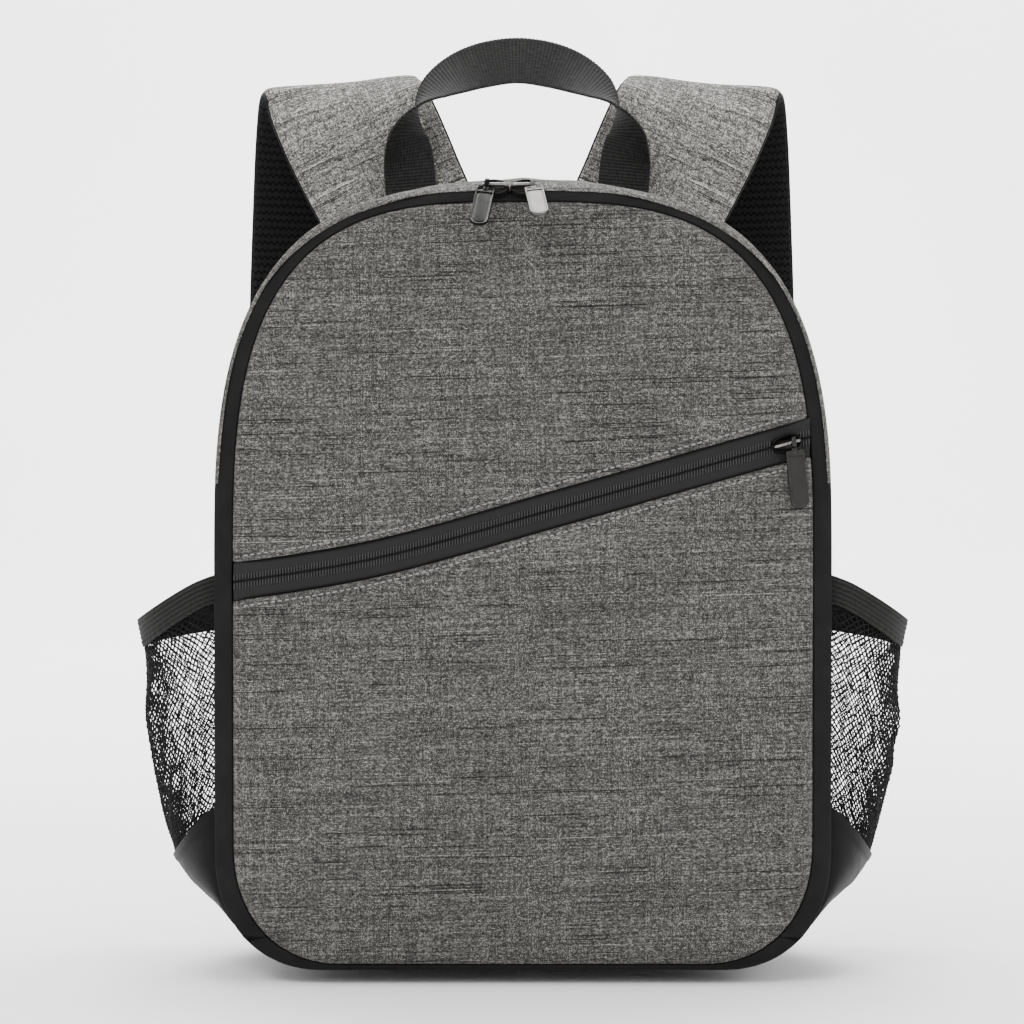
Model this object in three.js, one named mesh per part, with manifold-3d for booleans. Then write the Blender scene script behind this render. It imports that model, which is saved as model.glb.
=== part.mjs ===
// Camera backpack standing upright on its base, with its shoulder straps folded over behind it.
// Millimetres, +Z up, the front faces -Y and +X is to the right of someone who looks at the front.
// The origin is the centre of the base, on the floor.
import * as THREE from "three";
import { mergeVertices } from "three/addons/utils/BufferGeometryUtils.js";
import Module from "manifold-3d";

const wasm = await Module();
wasm.setup();

// Driving dimensions: the body
const clearance = 0.3; // left between pieces that are sewn or hooked to each other
const bodyDepth = 130; // front cloth to back panel
const panelHalfWidth = 132.5; // padded front panel
const panelTop = 352;
const panelBottom = 3.5;
const shoulderHeight = 180; // the straight sides turn into the dome here
const panelRoundness = 3.2; // exponent of the dome's superellipse, 2 is an ellipse
const bodyRoundness = 3.1; // and of the side wall's dome round it
const cornerWidth = 50; // lower corners
const cornerHeight = 55;
const cornerRoundness = 2.2;
const frontPad = 7; // thickness of the padded front panel
const softEdge = 12; // width of its rounded rim
const bandSide = 9; // black zip band seen beside the front panel
const bandTop = 7; // and above it
const bandSlope = 4; // how far the band falls back from its inner to its outer edge
const tapeThickness = 1.5;
const sideWall = 5; // padded side wall
const sideSwell = 6; // how far the side wall stands out at the top
const backPad = 10;
const baseSeam = 16; // height where the grey side wall and the zip end, and the black base starts

// Driving dimensions: the slanted front pocket zip
const pocketZipWidth = 17.5; // measured upright
const pocketZipRecess = 2.6; // below the cloth on both sides
const pocketZipInset = 12.5; // slider's place, in from the side of the panel

// Driving dimensions: the handle and the shoulder straps
const webbingWidth = 25;
const webbingThickness = 1.6;
const handleHalfSpan = 51;
const handleMiddle = -2.5; // it sits a little to the left
const handleSink = 16; // its feet below the top of the panel
const handleRise = 75; // and its top above it
const strapWidth = 76;
const strapFace = 5; // grey outer half of the padded strap
const strapLining = 6; // black mesh half on the wearer's side
const strapRise = 62; // top of the straps above the top of the panel
const strapFoot = 130;
const strapReach = 51; // from the root of the strap back to its hanging part
const strapInset = 28.5; // lower end, in from the side of the panel

// Driving dimensions: the adjusters at the lower ends of the straps
const buckleWidth = 32;
const buckleThickness = 3;
const buckleBar = 3.5;
const tabLength = 14;
const tailLength = 45;
const anchorWidth = 42;
const anchorHeight = 38;
const anchorFoot = 22;

// Driving dimensions: the side pockets
const pocketReach = 40; // how far the mouth stands out from the side wall
const pocketFront = -51;
const pocketBack = 50;
const mouthFront = 181.5;
const mouthMiddle = 158;
const mouthBack = 163;
const elasticHeight = 13;
const elasticThickness = 2.4;
const elasticFlare = 0.07; // share of the reach that its lower edge stands in from the upper one
const netThickness = 1;
const floorThickness = 1.6;
const rimFront = 75; // upper edge of the black pocket bottom
const rimMiddle = 47;
const rimBack = 54;
const pocketFoot = 20;
const pocketSeamGap = 0.8;
const pocketBow = 0.8; // below 1 the pocket is fuller towards its seams

// Driving dimensions: the zip sliders and their pulls
const sliderLength = 14;
const sliderWidth = 8;
const sliderThickness = 2.4;
const bridgeThickness = 1.4;
const bridgeWidth = 2;
const ringInner = 1.6;
const ringOuter = 2.7;
const ringWidth = 2.2;
const pullWidth = 8.6;
const pullThickness = 1.6;
const pullLength = 28;
const zipMeet = -6; // the two main sliders meet here, left of the middle
const mainPullLean = { left: 50, right: 60 }; // degrees forward from straight down
const mainPullSwing = { left: -8, right: 7 }; // degrees to the side, towards +X
const pocketPullLean = 5; // degrees from the cloth that it hangs on
const pocketPullSwing = -9;

// How finely the curves are divided
const cornerSteps = 6;
const sideSteps = 2;
const domeSteps = 12;
const strapSteps = 36;
const handleSteps = 30;
const pocketSteps = 14;
const zipSteps = 12;

// Sizes that follow from the driving dimensions
const bodyFront = -bodyDepth / 2;
const bodyBack = bodyDepth / 2;
const panelBack = bodyFront + frontPad;
const bandInner = panelBack - 2 * tapeThickness;
const bandOuter = bandInner + bandSlope;
const wallFront = bandOuter + tapeThickness + clearance;
const wallBack = bodyBack - backPad - clearance;
const panelEdge = {
  halfWidth: panelHalfWidth,
  top: panelTop,
  bottom: panelBottom,
  roundness: panelRoundness,
};
const bodyEdge = {
  halfWidth: panelHalfWidth + bandSide,
  top: panelTop + bandTop,
  bottom: 0,
  roundness: bodyRoundness,
};
const handleFoot = panelTop - handleSink;
const handleTop = panelTop + handleRise;
const strapTop = panelTop + strapRise;
const strapOut = panelHalfWidth - strapInset;
const pocketZipSlider = panelHalfWidth - pocketZipInset;
const handleDepth = bodyBack + clearance + webbingThickness / 2;
const strapDepth = handleDepth + webbingThickness / 2 + 3 * clearance + strapFace;
const bandHigh = { bottom: baseSeam, top: 2 * panelTop };
const bandLow = { bottom: -panelTop, top: baseSeam - clearance };
const farAway = 2 * panelTop;

// Short tables: lengths are shares of the named sizes

// Rim of the padded front panel, from the flat middle out to the side: inset in soft edges, back in pads
const panelRim = [
  { inset: 3.4, back: 0 },
  { inset: 1.1, back: 0.05 },
  { inset: 0.42, back: 0.18 },
  { inset: 0.1, back: 0.38 },
  { inset: 0, back: 0.62 },
  { inset: 0, back: 1 },
];

// Rim of the back panel, from its seam to its flat middle: inset and depth in back pads
const backRim = [
  { inset: 0, depth: 0 },
  { inset: 0, depth: 0.45 },
  { inset: 0.25, depth: 0.85 },
  { inset: 0.8, depth: 1 },
];

// Swell of the side wall round the dome: place as |x| in half widths of the body, amount of the swell
const domeSwell = [
  { place: 0, swell: 1 },
  { place: 0.24, swell: 0.72 },
  { place: 0.39, swell: 0.42 },
  { place: 0.53, swell: 0.14 },
  { place: 0.7, swell: 0 },
  { place: 0.95, swell: 0 },
  { place: 1, swell: 0.1 },
];

// Swell of the side wall from front to back: place as a share of its depth, amount of the swell
const wallProfile = [
  { place: 0, swell: 0 },
  { place: 0.12, swell: 0.72 },
  { place: 0.34, swell: 1 },
  { place: 0.62, swell: 1 },
  { place: 0.88, swell: 0.66 },
  { place: 1, swell: 0 },
];

// Middle line of the slanted zip: across in half widths of the panel, up in panel heights
const zipLine = [
  { across: -1.1, up: 0.502 },
  { across: -0.52, up: 0.538 },
  { across: 0.13, up: 0.605 },
  { across: 0.745, up: 0.671 },
  { across: 1.1, up: 0.708 },
];

// Half of the handle, from its foot to its top: across in half spans, up from foot to top,
// forward in webbing widths, turn in degrees as the strip twists to lie flat over the hand
const handleLine = [
  { across: 1, up: 0, forward: 0, turn: 0 },
  { across: 1, up: 0.16, forward: 0, turn: 0 },
  { across: 1.02, up: 0.32, forward: 0.04, turn: 0 },
  { across: 1.04, up: 0.47, forward: 0.16, turn: 14 },
  { across: 1.05, up: 0.61, forward: 0.34, turn: 50 },
  { across: 0.96, up: 0.745, forward: 0.4, turn: 92 },
  { across: 0.79, up: 0.85, forward: 0.36, turn: 126 },
  { across: 0.53, up: 0.935, forward: 0.28, turn: 148 },
  { across: 0.27, up: 0.982, forward: 0.22, turn: 157 },
];

// Shoulder strap from its root on the back panel to its lower end: out in lower places, back in reaches,
// up in strap tops, lean of its width from level in degrees, wide in strap widths
const strapLine = [
  { out: 0.385, back: 0, up: 0.75, lean: 25, wide: 0.9 },
  { out: 0.51, back: 0, up: 0.816, lean: 25, wide: 0.94 },
  { out: 0.63, back: 0.03, up: 0.879, lean: 23, wide: 0.97 },
  { out: 0.74, back: 0.1, up: 0.937, lean: 17, wide: 1 },
  { out: 0.82, back: 0.25, up: 0.978, lean: 10, wide: 1 },
  { out: 0.865, back: 0.5, up: 1, lean: 5, wide: 1 },
  { out: 0.896, back: 0.77, up: 0.985, lean: 3, wide: 1 },
  { out: 0.92, back: 0.95, up: 0.937, lean: 2, wide: 1 },
  { out: 0.937, back: 1.02, up: 0.856, lean: 1, wide: 1 },
  { out: 0.956, back: 1.04, up: 0.72, lean: 0, wide: 1 },
  { out: 0.98, back: 1, up: 0.575, lean: 0, wide: 0.97 },
  { out: 1, back: 0.86, up: 0.435, lean: 0, wide: 0.86 },
  { out: 1, back: 0.66, up: strapFoot / strapTop, lean: 0, wide: 0.62 },
];

// Side pocket wall: down from the elastic to the rim of the pocket bottom, out in pocket reaches
const netRows = [
  { down: 0, out: 0.93 },
  { down: 0.2, out: 0.92 },
  { down: 0.42, out: 0.91 },
  { down: 0.62, out: 0.83 },
  { down: 0.82, out: 0.71 },
  { down: 1, out: 0.57 },
];

// Black pocket bottom: down from its rim to its foot, out in pocket reaches
const floorRows = [
  { down: 0, out: 0.57 },
  { down: 0.22, out: 0.5 },
  { down: 0.44, out: 0.41 },
  { down: 0.64, out: 0.28 },
  { down: 0.82, out: 0.15 },
  { down: 1, out: 0.05 },
];

// Materials
function finish(color, roughness, metalness = 0) {
  return new THREE.MeshStandardMaterial({ color, roughness, metalness });
}

const greyCloth = finish(0x6b6a66, 0.9);
const strapCloth = finish(0x8a8985, 0.9);
const blackTape = finish(0x2b2b29, 0.75);
const blackWebbing = finish(0x2e2e2c, 0.7);
const blackMesh = finish(0x171717, 0.9);
const blackNylon = finish(0x222222, 0.55);
const blackElastic = finish(0x2d2c2b, 0.8);
const blackNet = finish(0x1d1d1d, 0.7);
const blackPlastic = finish(0x191919, 0.4);
const gunmetal = finish(0x6b6864, 0.32, 0.9);

const group = new THREE.Group();

function add(name, geometry, material) {
  const mesh = new THREE.Mesh(geometry, material);
  mesh.name = name;
  group.add(mesh);
  return mesh;
}

// Geometry helpers

// Triangles that close a ring whose first and second halves run side by side, point by point
function capTriangles(count) {
  const triangles = [];
  let near = 0;
  let far = count - 1;
  while (far - near > 1) {
    triangles.push([near, near + 1, far]);
    if (far - near > 2) {
      triangles.push([near + 1, far - 1, far]);
    }
    near += 1;
    far -= 1;
  }
  return triangles;
}

function volumeOf(points, triangles) {
  let total = 0;
  for (const [a, b, c] of triangles) {
    total += points[a].dot(new THREE.Vector3().crossVectors(points[b], points[c])) / 6;
  }
  return total;
}

// A closed skin over rows of points. Each row is a ring. The first and last rows are capped, or where
// joined is true the last row meets the first one.
function loft(rows, joined = false) {
  const width = rows[0].length;
  const points = rows.flat();
  const triangles = [];
  const bands = joined ? rows.length : rows.length - 1;
  for (let row = 0; row < bands; row += 1) {
    const here = row * width;
    const there = ((row + 1) % rows.length) * width;
    for (let column = 0; column < width; column += 1) {
      const right = (column + 1) % width;
      triangles.push([here + column, here + right, there + right]);
      triangles.push([here + column, there + right, there + column]);
    }
  }
  if (!joined) {
    const last = (rows.length - 1) * width;
    for (const [a, b, c] of capTriangles(width)) {
      triangles.push([a, c, b]);
      triangles.push([last + a, last + b, last + c]);
    }
  }
  if (volumeOf(points, triangles) < 0) {
    triangles.forEach((triangle) => triangle.reverse());
  }
  const geometry = new THREE.BufferGeometry();
  geometry.setAttribute("position", new THREE.Float32BufferAttribute(points.flatMap((p) => p.toArray()), 3));
  geometry.setIndex(triangles.flat());
  return geometry;
}

function solidOf(geometry) {
  const bare = geometry.clone();
  bare.deleteAttribute("normal");
  bare.deleteAttribute("uv");
  const merged = mergeVertices(bare);
  return new wasm.Manifold(new wasm.Mesh({
    numProp: 3,
    vertProperties: new Float32Array(merged.attributes.position.array),
    triVerts: new Uint32Array(merged.index.array),
  }));
}

function geometryOf(solid) {
  const mesh = solid.getMesh();
  const geometry = new THREE.BufferGeometry();
  geometry.setAttribute("position", new THREE.BufferAttribute(mesh.vertProperties, 3));
  geometry.setIndex(Array.from(mesh.triVerts));
  return geometry;
}

// The part of a geometry between two heights
function between(geometry, { bottom, top }) {
  const slab = new THREE.BoxGeometry(farAway, farAway, top - bottom);
  slab.translate(0, 0, (top + bottom) / 2);
  return geometryOf(solidOf(geometry).intersect(solidOf(slab)));
}

// The bag's outline from the front, as [x, z] from the right end of the flat bottom over the top to the left
function outline({ halfWidth, top, bottom, roundness }) {
  const right = [];
  const flat = halfWidth - cornerWidth;
  for (let i = 0; i <= cornerSteps; i += 1) {
    const angle = (Math.PI / 2) * (i / cornerSteps);
    const x = flat + cornerWidth * Math.sin(angle) ** (2 / cornerRoundness);
    const z = bottom + cornerHeight * (1 - Math.cos(angle) ** (2 / cornerRoundness));
    right.push([x, i === cornerSteps ? bottom + cornerHeight : z]);
  }
  const sideFoot = bottom + cornerHeight;
  for (let i = 1; i <= sideSteps; i += 1) {
    right.push([halfWidth, THREE.MathUtils.lerp(sideFoot, shoulderHeight, i / sideSteps)]);
  }
  for (let i = 1; i < domeSteps; i += 1) {
    const angle = (Math.PI / 2) * (i / domeSteps);
    const x = halfWidth * Math.cos(angle) ** (2 / roundness);
    const z = shoulderHeight + (top - shoulderHeight) * Math.sin(angle) ** (2 / roundness);
    right.push([x, z]);
  }
  const left = right.map(([x, z]) => [-x, z]).reverse();
  return [...right, [0, top], ...left];
}

function inside(edge, inset) {
  const { halfWidth, top, bottom } = edge;
  return { ...edge, halfWidth: halfWidth - inset, top: top - inset, bottom: bottom + inset };
}

// A ring of points round the bag at one depth
function ringAt(edge, inset, depth) {
  return outline(inside(edge, inset)).map(([x, z]) => new THREE.Vector3(x, depth, z));
}

// The side wall stands out above the pocket mouths, most at the top of the dome, and stays flat below them
function swellAt({ x, z }) {
  const across = z > shoulderHeight ? Math.min(1, Math.abs(x) / bodyEdge.halfWidth) : 1;
  const above = Math.max(1, domeSwell.findIndex(({ place }) => place >= across));
  const [low, high] = [domeSwell[above - 1], domeSwell[above]];
  const amount = THREE.MathUtils.mapLinear(across, low.place, high.place, low.swell, high.swell);
  return sideSwell * amount * THREE.MathUtils.smoothstep(z, mouthMiddle, mouthFront + pocketReach);
}

function swollen(points, amount) {
  return points.map((point, i) => {
    const before = points.at(i - 1);
    const after = points[(i + 1) % points.length];
    const outward = new THREE.Vector3(after.z - before.z, 0, before.x - after.x).normalize();
    return point.clone().addScaledVector(outward, amount * swellAt(point));
  });
}

// Front panel, cut into the cloth above the slanted zip and the pocket below it

const panelRows = panelRim.map(({ inset, back }) =>
  ringAt(panelEdge, inset * softEdge, bodyFront + back * frontPad));
const panel = solidOf(loft(panelRows));

const zipCurve = new THREE.CatmullRomCurve3(zipLine.map(({ across, up }) =>
  new THREE.Vector3(across * panelHalfWidth, 0, up * panelTop)));
const zipPoints = zipCurve.getPoints(zipSteps);

// A slab through the whole depth of the bag between two edges that follow the slanted zip
function slantedSlab(lower, upper) {
  const low = zipPoints.map((p) => new THREE.Vector3(p.x, 0, p.z + lower));
  const high = zipPoints.map((p) => new THREE.Vector3(p.x, 0, p.z + upper)).reverse();
  const face = [...low, ...high];
  return solidOf(loft([-bodyDepth, bodyDepth].map((y) => face.map((p) => p.clone().setY(y)))));
}

const zipHalf = pocketZipWidth / 2;
const zipRows = [pocketZipRecess, pocketZipRecess + 2 * tapeThickness].map((recess) =>
  ringAt(panelEdge, clearance, bodyFront + recess));
add("front_upper", geometryOf(panel.intersect(slantedSlab(zipHalf, farAway))), greyCloth);
add("front_pocket", geometryOf(panel.intersect(slantedSlab(-farAway, -zipHalf))), greyCloth);
const zipSlab = slantedSlab(clearance - zipHalf, zipHalf - clearance);
add("pocket_zip", geometryOf(solidOf(loft(zipRows)).intersect(zipSlab)), blackTape);

// Zip band round the panel, with the plain binding that closes it along the bottom

const band = loft([
  ringAt(panelEdge, -clearance, bandInner),
  ringAt(bodyEdge, 0, bandOuter),
  ringAt(bodyEdge, 0, bandOuter + tapeThickness),
  ringAt(panelEdge, -clearance, bandInner + tapeThickness),
], true);
add("main_zip", between(band, bandHigh), blackTape);
add("front_binding", between(band, bandLow), blackTape);

// Side wall, hollow all the way through from the front to the back panel, and the base below it

const wallOutside = wallProfile.map(({ place, swell }) =>
  swollen(ringAt(bodyEdge, 0, THREE.MathUtils.lerp(wallFront, wallBack, place)), swell));
const wallInside = wallProfile.map(({ place, swell }) =>
  swollen(ringAt(bodyEdge, sideWall, THREE.MathUtils.lerp(wallFront, wallBack, place)), swell));
const wall = loft([...wallOutside, ...wallInside.reverse()], true);
add("side_wall", between(wall, bandHigh), greyCloth);
add("base_panel", between(wall, bandLow), blackNylon);

const backRows = backRim.map(({ inset, depth }) =>
  ringAt(bodyEdge, inset * backPad, bodyBack - backPad + depth * backPad));
add("back_panel", loft(backRows), blackMesh);

// Strips: a flat section swept along stations, each with a centre and its two directions

const flatSection = [[-1, -0.5], [1, -0.5], [1, 0.5], [-1, 0.5]];

function sweep(stations, section, mirror = 1) {
  return loft(stations.map(({ centre, across, outward, halfWide, thick }) =>
    section.map(([side, level]) => centre.clone()
      .addScaledVector(across, side * halfWide)
      .addScaledVector(outward, level * thick)
      .multiply(new THREE.Vector3(mirror, 1, 1)))));
}

function curveOf(points) {
  return new THREE.CatmullRomCurve3(points, false, "centripetal");
}

// Carrying handle: its ends lie flat on the back panel, and the strip turns over towards the front

function handleStations() {
  const left = handleLine.map((row) => ({ ...row, across: -row.across }));
  const top = { across: 0, up: 1, forward: handleLine.at(-1).forward, turn: handleLine.at(-1).turn };
  const rows = [...left, top, ...handleLine.toReversed()];
  const line = curveOf(rows.map(({ across, up, forward }) => new THREE.Vector3(
    handleMiddle + across * handleHalfSpan,
    handleDepth - forward * webbingWidth,
    THREE.MathUtils.lerp(handleFoot, handleTop, up),
  )));
  const turns = curveOf(rows.map(({ turn }, i) => new THREE.Vector3(i, turn, 0)));
  const stations = [];
  for (let i = 0; i <= handleSteps; i += 1) {
    const place = i / handleSteps;
    const travel = line.getTangent(place);
    const turn = THREE.MathUtils.degToRad(Math.max(0, turns.getPoint(place).y));
    const within = new THREE.Vector3(travel.z, 0, -travel.x).normalize();
    const across = within.multiplyScalar(-Math.cos(turn)).add(new THREE.Vector3(0, -Math.sin(turn), 0));
    across.addScaledVector(travel, -across.dot(travel)).normalize();
    stations.push({
      centre: line.getPoint(place),
      across,
      outward: new THREE.Vector3().crossVectors(travel, across).normalize(),
      halfWide: webbingWidth / 2,
      thick: webbingThickness,
    });
  }
  return stations;
}

add("handle", sweep(handleStations(), flatSection), blackWebbing);

// Shoulder straps: a grey padded face and a black mesh lining, both swept along one line

const faceSection = [[-1, 0], [1, 0], [0.985, 0.5], [0.88, 1], [-0.88, 1], [-0.985, 0.5]];

function strapStations(thick) {
  const line = curveOf(strapLine.map(({ out, back, up }) => new THREE.Vector3(
    out * strapOut,
    strapDepth + back * strapReach,
    up * strapTop,
  )));
  const shape = curveOf(strapLine.map(({ lean, wide }, i) => new THREE.Vector3(i, lean, wide)));
  const stations = [];
  for (let i = 0; i <= strapSteps; i += 1) {
    const place = i / strapSteps;
    const travel = line.getTangent(place);
    const { y: lean, z: wide } = shape.getPoint(place);
    const angle = THREE.MathUtils.degToRad(lean);
    const across = new THREE.Vector3(Math.cos(angle), 0, -Math.sin(angle));
    across.addScaledVector(travel, -across.dot(travel)).normalize();
    const outward = new THREE.Vector3().crossVectors(across, travel).normalize();
    stations.push({
      centre: line.getPoint(place).addScaledVector(outward, Math.sign(thick) * clearance),
      across,
      outward,
      halfWide: wide * (strapWidth / 2),
      thick,
    });
  }
  return stations;
}

// Webbing of even thickness along a path of [y, z] points in the side view
function sideWebbing(path, x, width) {
  const offset = path.map((point, i) => {
    const before = path[Math.max(0, i - 1)];
    const after = path[Math.min(path.length - 1, i + 1)];
    const length = Math.hypot(after[0] - before[0], after[1] - before[1]);
    return [(after[1] - before[1]) / length, (before[0] - after[0]) / length];
  });
  const half = webbingThickness / 2;
  const edge = (sign) => path.map(([y, z], i) => {
    const [towardsY, towardsZ] = offset[i];
    return [y + sign * half * towardsY, z + sign * half * towardsZ];
  });
  const face = [...edge(1), ...edge(-1).reverse()];
  return loft([-width / 2, width / 2].map((dx) => face.map(([y, z]) => new THREE.Vector3(x + dx, y, z))));
}

// Half a turn of webbing round a bar, as [down, level] points
function bend(centre, radius, from, to, steps = 6) {
  const points = [];
  for (let i = 0; i <= steps; i += 1) {
    const angle = THREE.MathUtils.degToRad(THREE.MathUtils.lerp(from, to, i / steps));
    points.push([centre + radius * Math.cos(angle), radius * Math.sin(angle)]);
  }
  return points;
}

// Adjuster at the lower end of a strap: tab, buckle, webbing and the cloth that anchors it
function adjuster(name, side) {
  const end = strapStations(1).at(-1);
  const x = side * end.centre.x;
  const down = new THREE.Vector3().crossVectors(end.outward, end.across);
  const place = ([along, level]) => [
    end.centre.y + down.y * along + end.outward.y * level,
    end.centre.z + down.z * along + end.outward.z * level,
  ];
  const loopRadius = buckleThickness / 2 + clearance + webbingThickness / 2;
  const barOne = tabLength;
  const barTwo = barOne + 2 * buckleBar + 2 * loopRadius;
  const barThree = barTwo + 2 * buckleBar;
  const tab = [
    [clearance, loopRadius],
    ...bend(barOne + buckleBar / 2, loopRadius, 90, -90),
    [clearance, -loopRadius],
  ].map(place);
  add(`${name}_strap_tab`, sideWebbing(tab, x, webbingWidth), blackWebbing);

  const top = barOne - buckleBar / 2;
  const bottom = barThree + buckleBar / 2;
  const plate = new THREE.Shape();
  const half = buckleWidth / 2;
  const cut = buckleBar;
  plate.moveTo(-half, top + cut);
  plate.lineTo(-half + cut, top);
  plate.lineTo(half - cut, top);
  plate.lineTo(half, top + cut);
  plate.lineTo(half, bottom - cut);
  plate.lineTo(half - cut, bottom);
  plate.lineTo(-half + cut, bottom);
  plate.lineTo(-half, bottom - cut);
  const plain = new THREE.ExtrudeGeometry(plate, { depth: buckleThickness, bevelEnabled: false });
  plain.translate(0, 0, -buckleThickness / 2);
  let slotted = solidOf(plain);
  for (const [from, to] of [[barOne, barTwo], [barTwo, barThree]]) {
    const slotWidth = webbingWidth + 2 * clearance;
    const slot = new THREE.BoxGeometry(slotWidth, to - from - buckleBar, 2 * buckleThickness);
    slot.translate(0, (from + to) / 2, 0);
    slotted = slotted.subtract(solidOf(slot));
  }
  const buckle = add(`${name}_buckle`, geometryOf(slotted), blackPlastic);
  const frame = new THREE.Matrix4().makeBasis(
    new THREE.Vector3().crossVectors(down, end.outward), down, end.outward);
  frame.setPosition(end.centre.clone().setX(x));
  buckle.applyMatrix4(frame);

  const anchorFace = bodyBack + clearance + webbingThickness;
  const anchorTop = anchorFoot + anchorHeight;
  const webY = anchorFace + clearance + webbingThickness / 2;
  const run = [
    [webY, anchorTop - anchorHeight / 2],
    [webY, anchorTop - anchorHeight / 4],
    [webY + webbingThickness, anchorTop],
    place([bottom + loopRadius, -loopRadius]),
    ...bend(barTwo - buckleBar / 2 + clearance, loopRadius, 270, 90).map(place),
    place([bottom + clearance, loopRadius]),
    place([bottom + tailLength / 2, 2 * loopRadius]),
    place([bottom + tailLength, 2.5 * loopRadius]),
  ];
  add(`${name}_strap_webbing`, sideWebbing(run, x, webbingWidth), blackWebbing);

  const anchor = [[-0.5, 0], [0.5, 0], [0.5, 0.25], [0.3, 1], [-0.3, 1], [-0.5, 0.25]];
  const anchorRows = [bodyBack + clearance, anchorFace].map((y) => anchor.map(([across, up]) =>
    new THREE.Vector3(x + across * anchorWidth, y, anchorFoot + up * anchorHeight)));
  add(`${name}_strap_anchor`, loft(anchorRows), blackNylon);
}

// Side pockets: each wall is an upright sheet that bows out from the side wall between two seams

function pocketHeight(share, front, middle, back) {
  const seam = share < 0.5 ? front : back;
  return THREE.MathUtils.lerp(seam, middle, Math.sin(Math.PI * share));
}

// How far out the side wall's surface reaches at a height, with the clearance that the seams keep
const wallEdge = swollen(ringAt(bodyEdge, 0, 0), 1).filter(({ x }) => x > 0);

function seamAt(z) {
  const above = Math.max(1, wallEdge.findIndex((point) => point.z > z));
  const [low, high] = [wallEdge[above - 1], wallEdge[above]];
  return THREE.MathUtils.mapLinear(z, low.z, high.z, low.x, high.x) + pocketSeamGap;
}

// Points of one row of the wall, from the front seam round to the back seam, then back along its inside
function pocketRow(side, heightAt, out, thickness) {
  const outer = [];
  for (let i = 0; i <= pocketSteps; i += 1) {
    const share = i / pocketSteps;
    const z = heightAt(share);
    const bow = Math.sin(Math.PI * share) ** pocketBow;
    const y = THREE.MathUtils.lerp(pocketFront, pocketBack, (1 - Math.cos(Math.PI * share)) / 2);
    outer.push(new THREE.Vector3(seamAt(z) + out * pocketReach * bow, y, z));
  }
  const inner = outer.map((point, i) => {
    const before = outer[Math.max(0, i - 1)];
    const after = outer[Math.min(pocketSteps, i + 1)];
    const inward = new THREE.Vector3(before.y - after.y, after.x - before.x, 0).normalize();
    const moved = point.clone().addScaledVector(inward, thickness);
    return moved.setX(Math.max(moved.x, seamAt(moved.z)));
  });
  return [...outer, ...inner.reverse()].map((point) => point.setX(side * point.x));
}

function pocket(name, side) {
  const mouth = (share) => pocketHeight(share, mouthFront, mouthMiddle, mouthBack);
  const rim = (share) => pocketHeight(share, rimFront, rimMiddle, rimBack);
  const elastic = [1, 0.5, 0].map((up) => {
    const heightAt = (share) => mouth(share) - (1 - up) * elasticHeight;
    return pocketRow(side, heightAt, 1 - (1 - up) * elasticFlare, elasticThickness);
  });
  add(`${name}_pocket_elastic`, loft(elastic), blackElastic);
  const net = netRows.map(({ down, out }) => {
    const heightAt = (share) => {
      const top = mouth(share) - elasticHeight - clearance;
      return THREE.MathUtils.lerp(top, rim(share) + clearance, down);
    };
    return pocketRow(side, heightAt, out, netThickness);
  });
  add(`${name}_pocket_net`, loft(net), blackNet);
  const floor = floorRows.map(({ down, out }) => {
    const heightAt = (share) => THREE.MathUtils.lerp(rim(share), pocketFoot, down);
    return pocketRow(side, heightAt, out, floorThickness);
  });
  add(`${name}_pocket_bottom`, loft(floor), blackNylon);
}

for (const [name, side] of [["left", -1], ["right", 1]]) {
  add(`${name}_strap_face`, sweep(strapStations(strapFace), faceSection, side), strapCloth);
  add(`${name}_strap_lining`, sweep(strapStations(-strapLining), faceSection, side), blackMesh);
  adjuster(name, side);
  pocket(name, side);
}

// Zip sliders: a plate on the tape with a bridge along the track, and a pull whose ring goes round the
// bridge. Both are drawn with the track along x, the way across it along y and outward along z.

const axisHeight = clearance + sliderThickness + ringOuter + clearance;
const bridgeTop = axisHeight + bridgeThickness / 2;

function sliderGeometry() {
  const half = sliderLength / 2;
  const plate = new THREE.Shape();
  plate.moveTo(-half, -sliderWidth / 4);
  plate.quadraticCurveTo(-half, -sliderWidth / 2, -half / 2, -sliderWidth / 2);
  plate.lineTo(half, -sliderWidth / 2);
  plate.lineTo(half, sliderWidth / 2);
  plate.lineTo(-half / 2, sliderWidth / 2);
  plate.quadraticCurveTo(-half, sliderWidth / 2, -half, sliderWidth / 4);
  const plateShape = { depth: sliderThickness, bevelEnabled: false, curveSegments: 3 };
  const body = new THREE.ExtrudeGeometry(plate, plateShape);
  body.translate(0, 0, clearance);

  const foot = clearance + sliderThickness / 2;
  const legs = half - bridgeThickness / 2;
  const arch = new THREE.Shape();
  arch.moveTo(-legs, foot);
  arch.lineTo(-legs, bridgeTop - bridgeThickness);
  arch.lineTo(-legs + bridgeThickness, bridgeTop);
  arch.lineTo(legs - bridgeThickness, bridgeTop);
  arch.lineTo(legs, bridgeTop - bridgeThickness);
  arch.lineTo(legs, foot);
  arch.lineTo(legs - bridgeThickness, foot);
  arch.lineTo(legs - bridgeThickness, bridgeTop - bridgeThickness);
  arch.lineTo(-legs + bridgeThickness, bridgeTop - bridgeThickness);
  arch.lineTo(-legs + bridgeThickness, foot);
  const bridge = new THREE.ExtrudeGeometry(arch, { depth: bridgeWidth, bevelEnabled: false });
  bridge.translate(0, 0, -bridgeWidth / 2);
  bridge.rotateX(Math.PI / 2);
  return geometryOf(solidOf(body).add(solidOf(bridge)));
}

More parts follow.
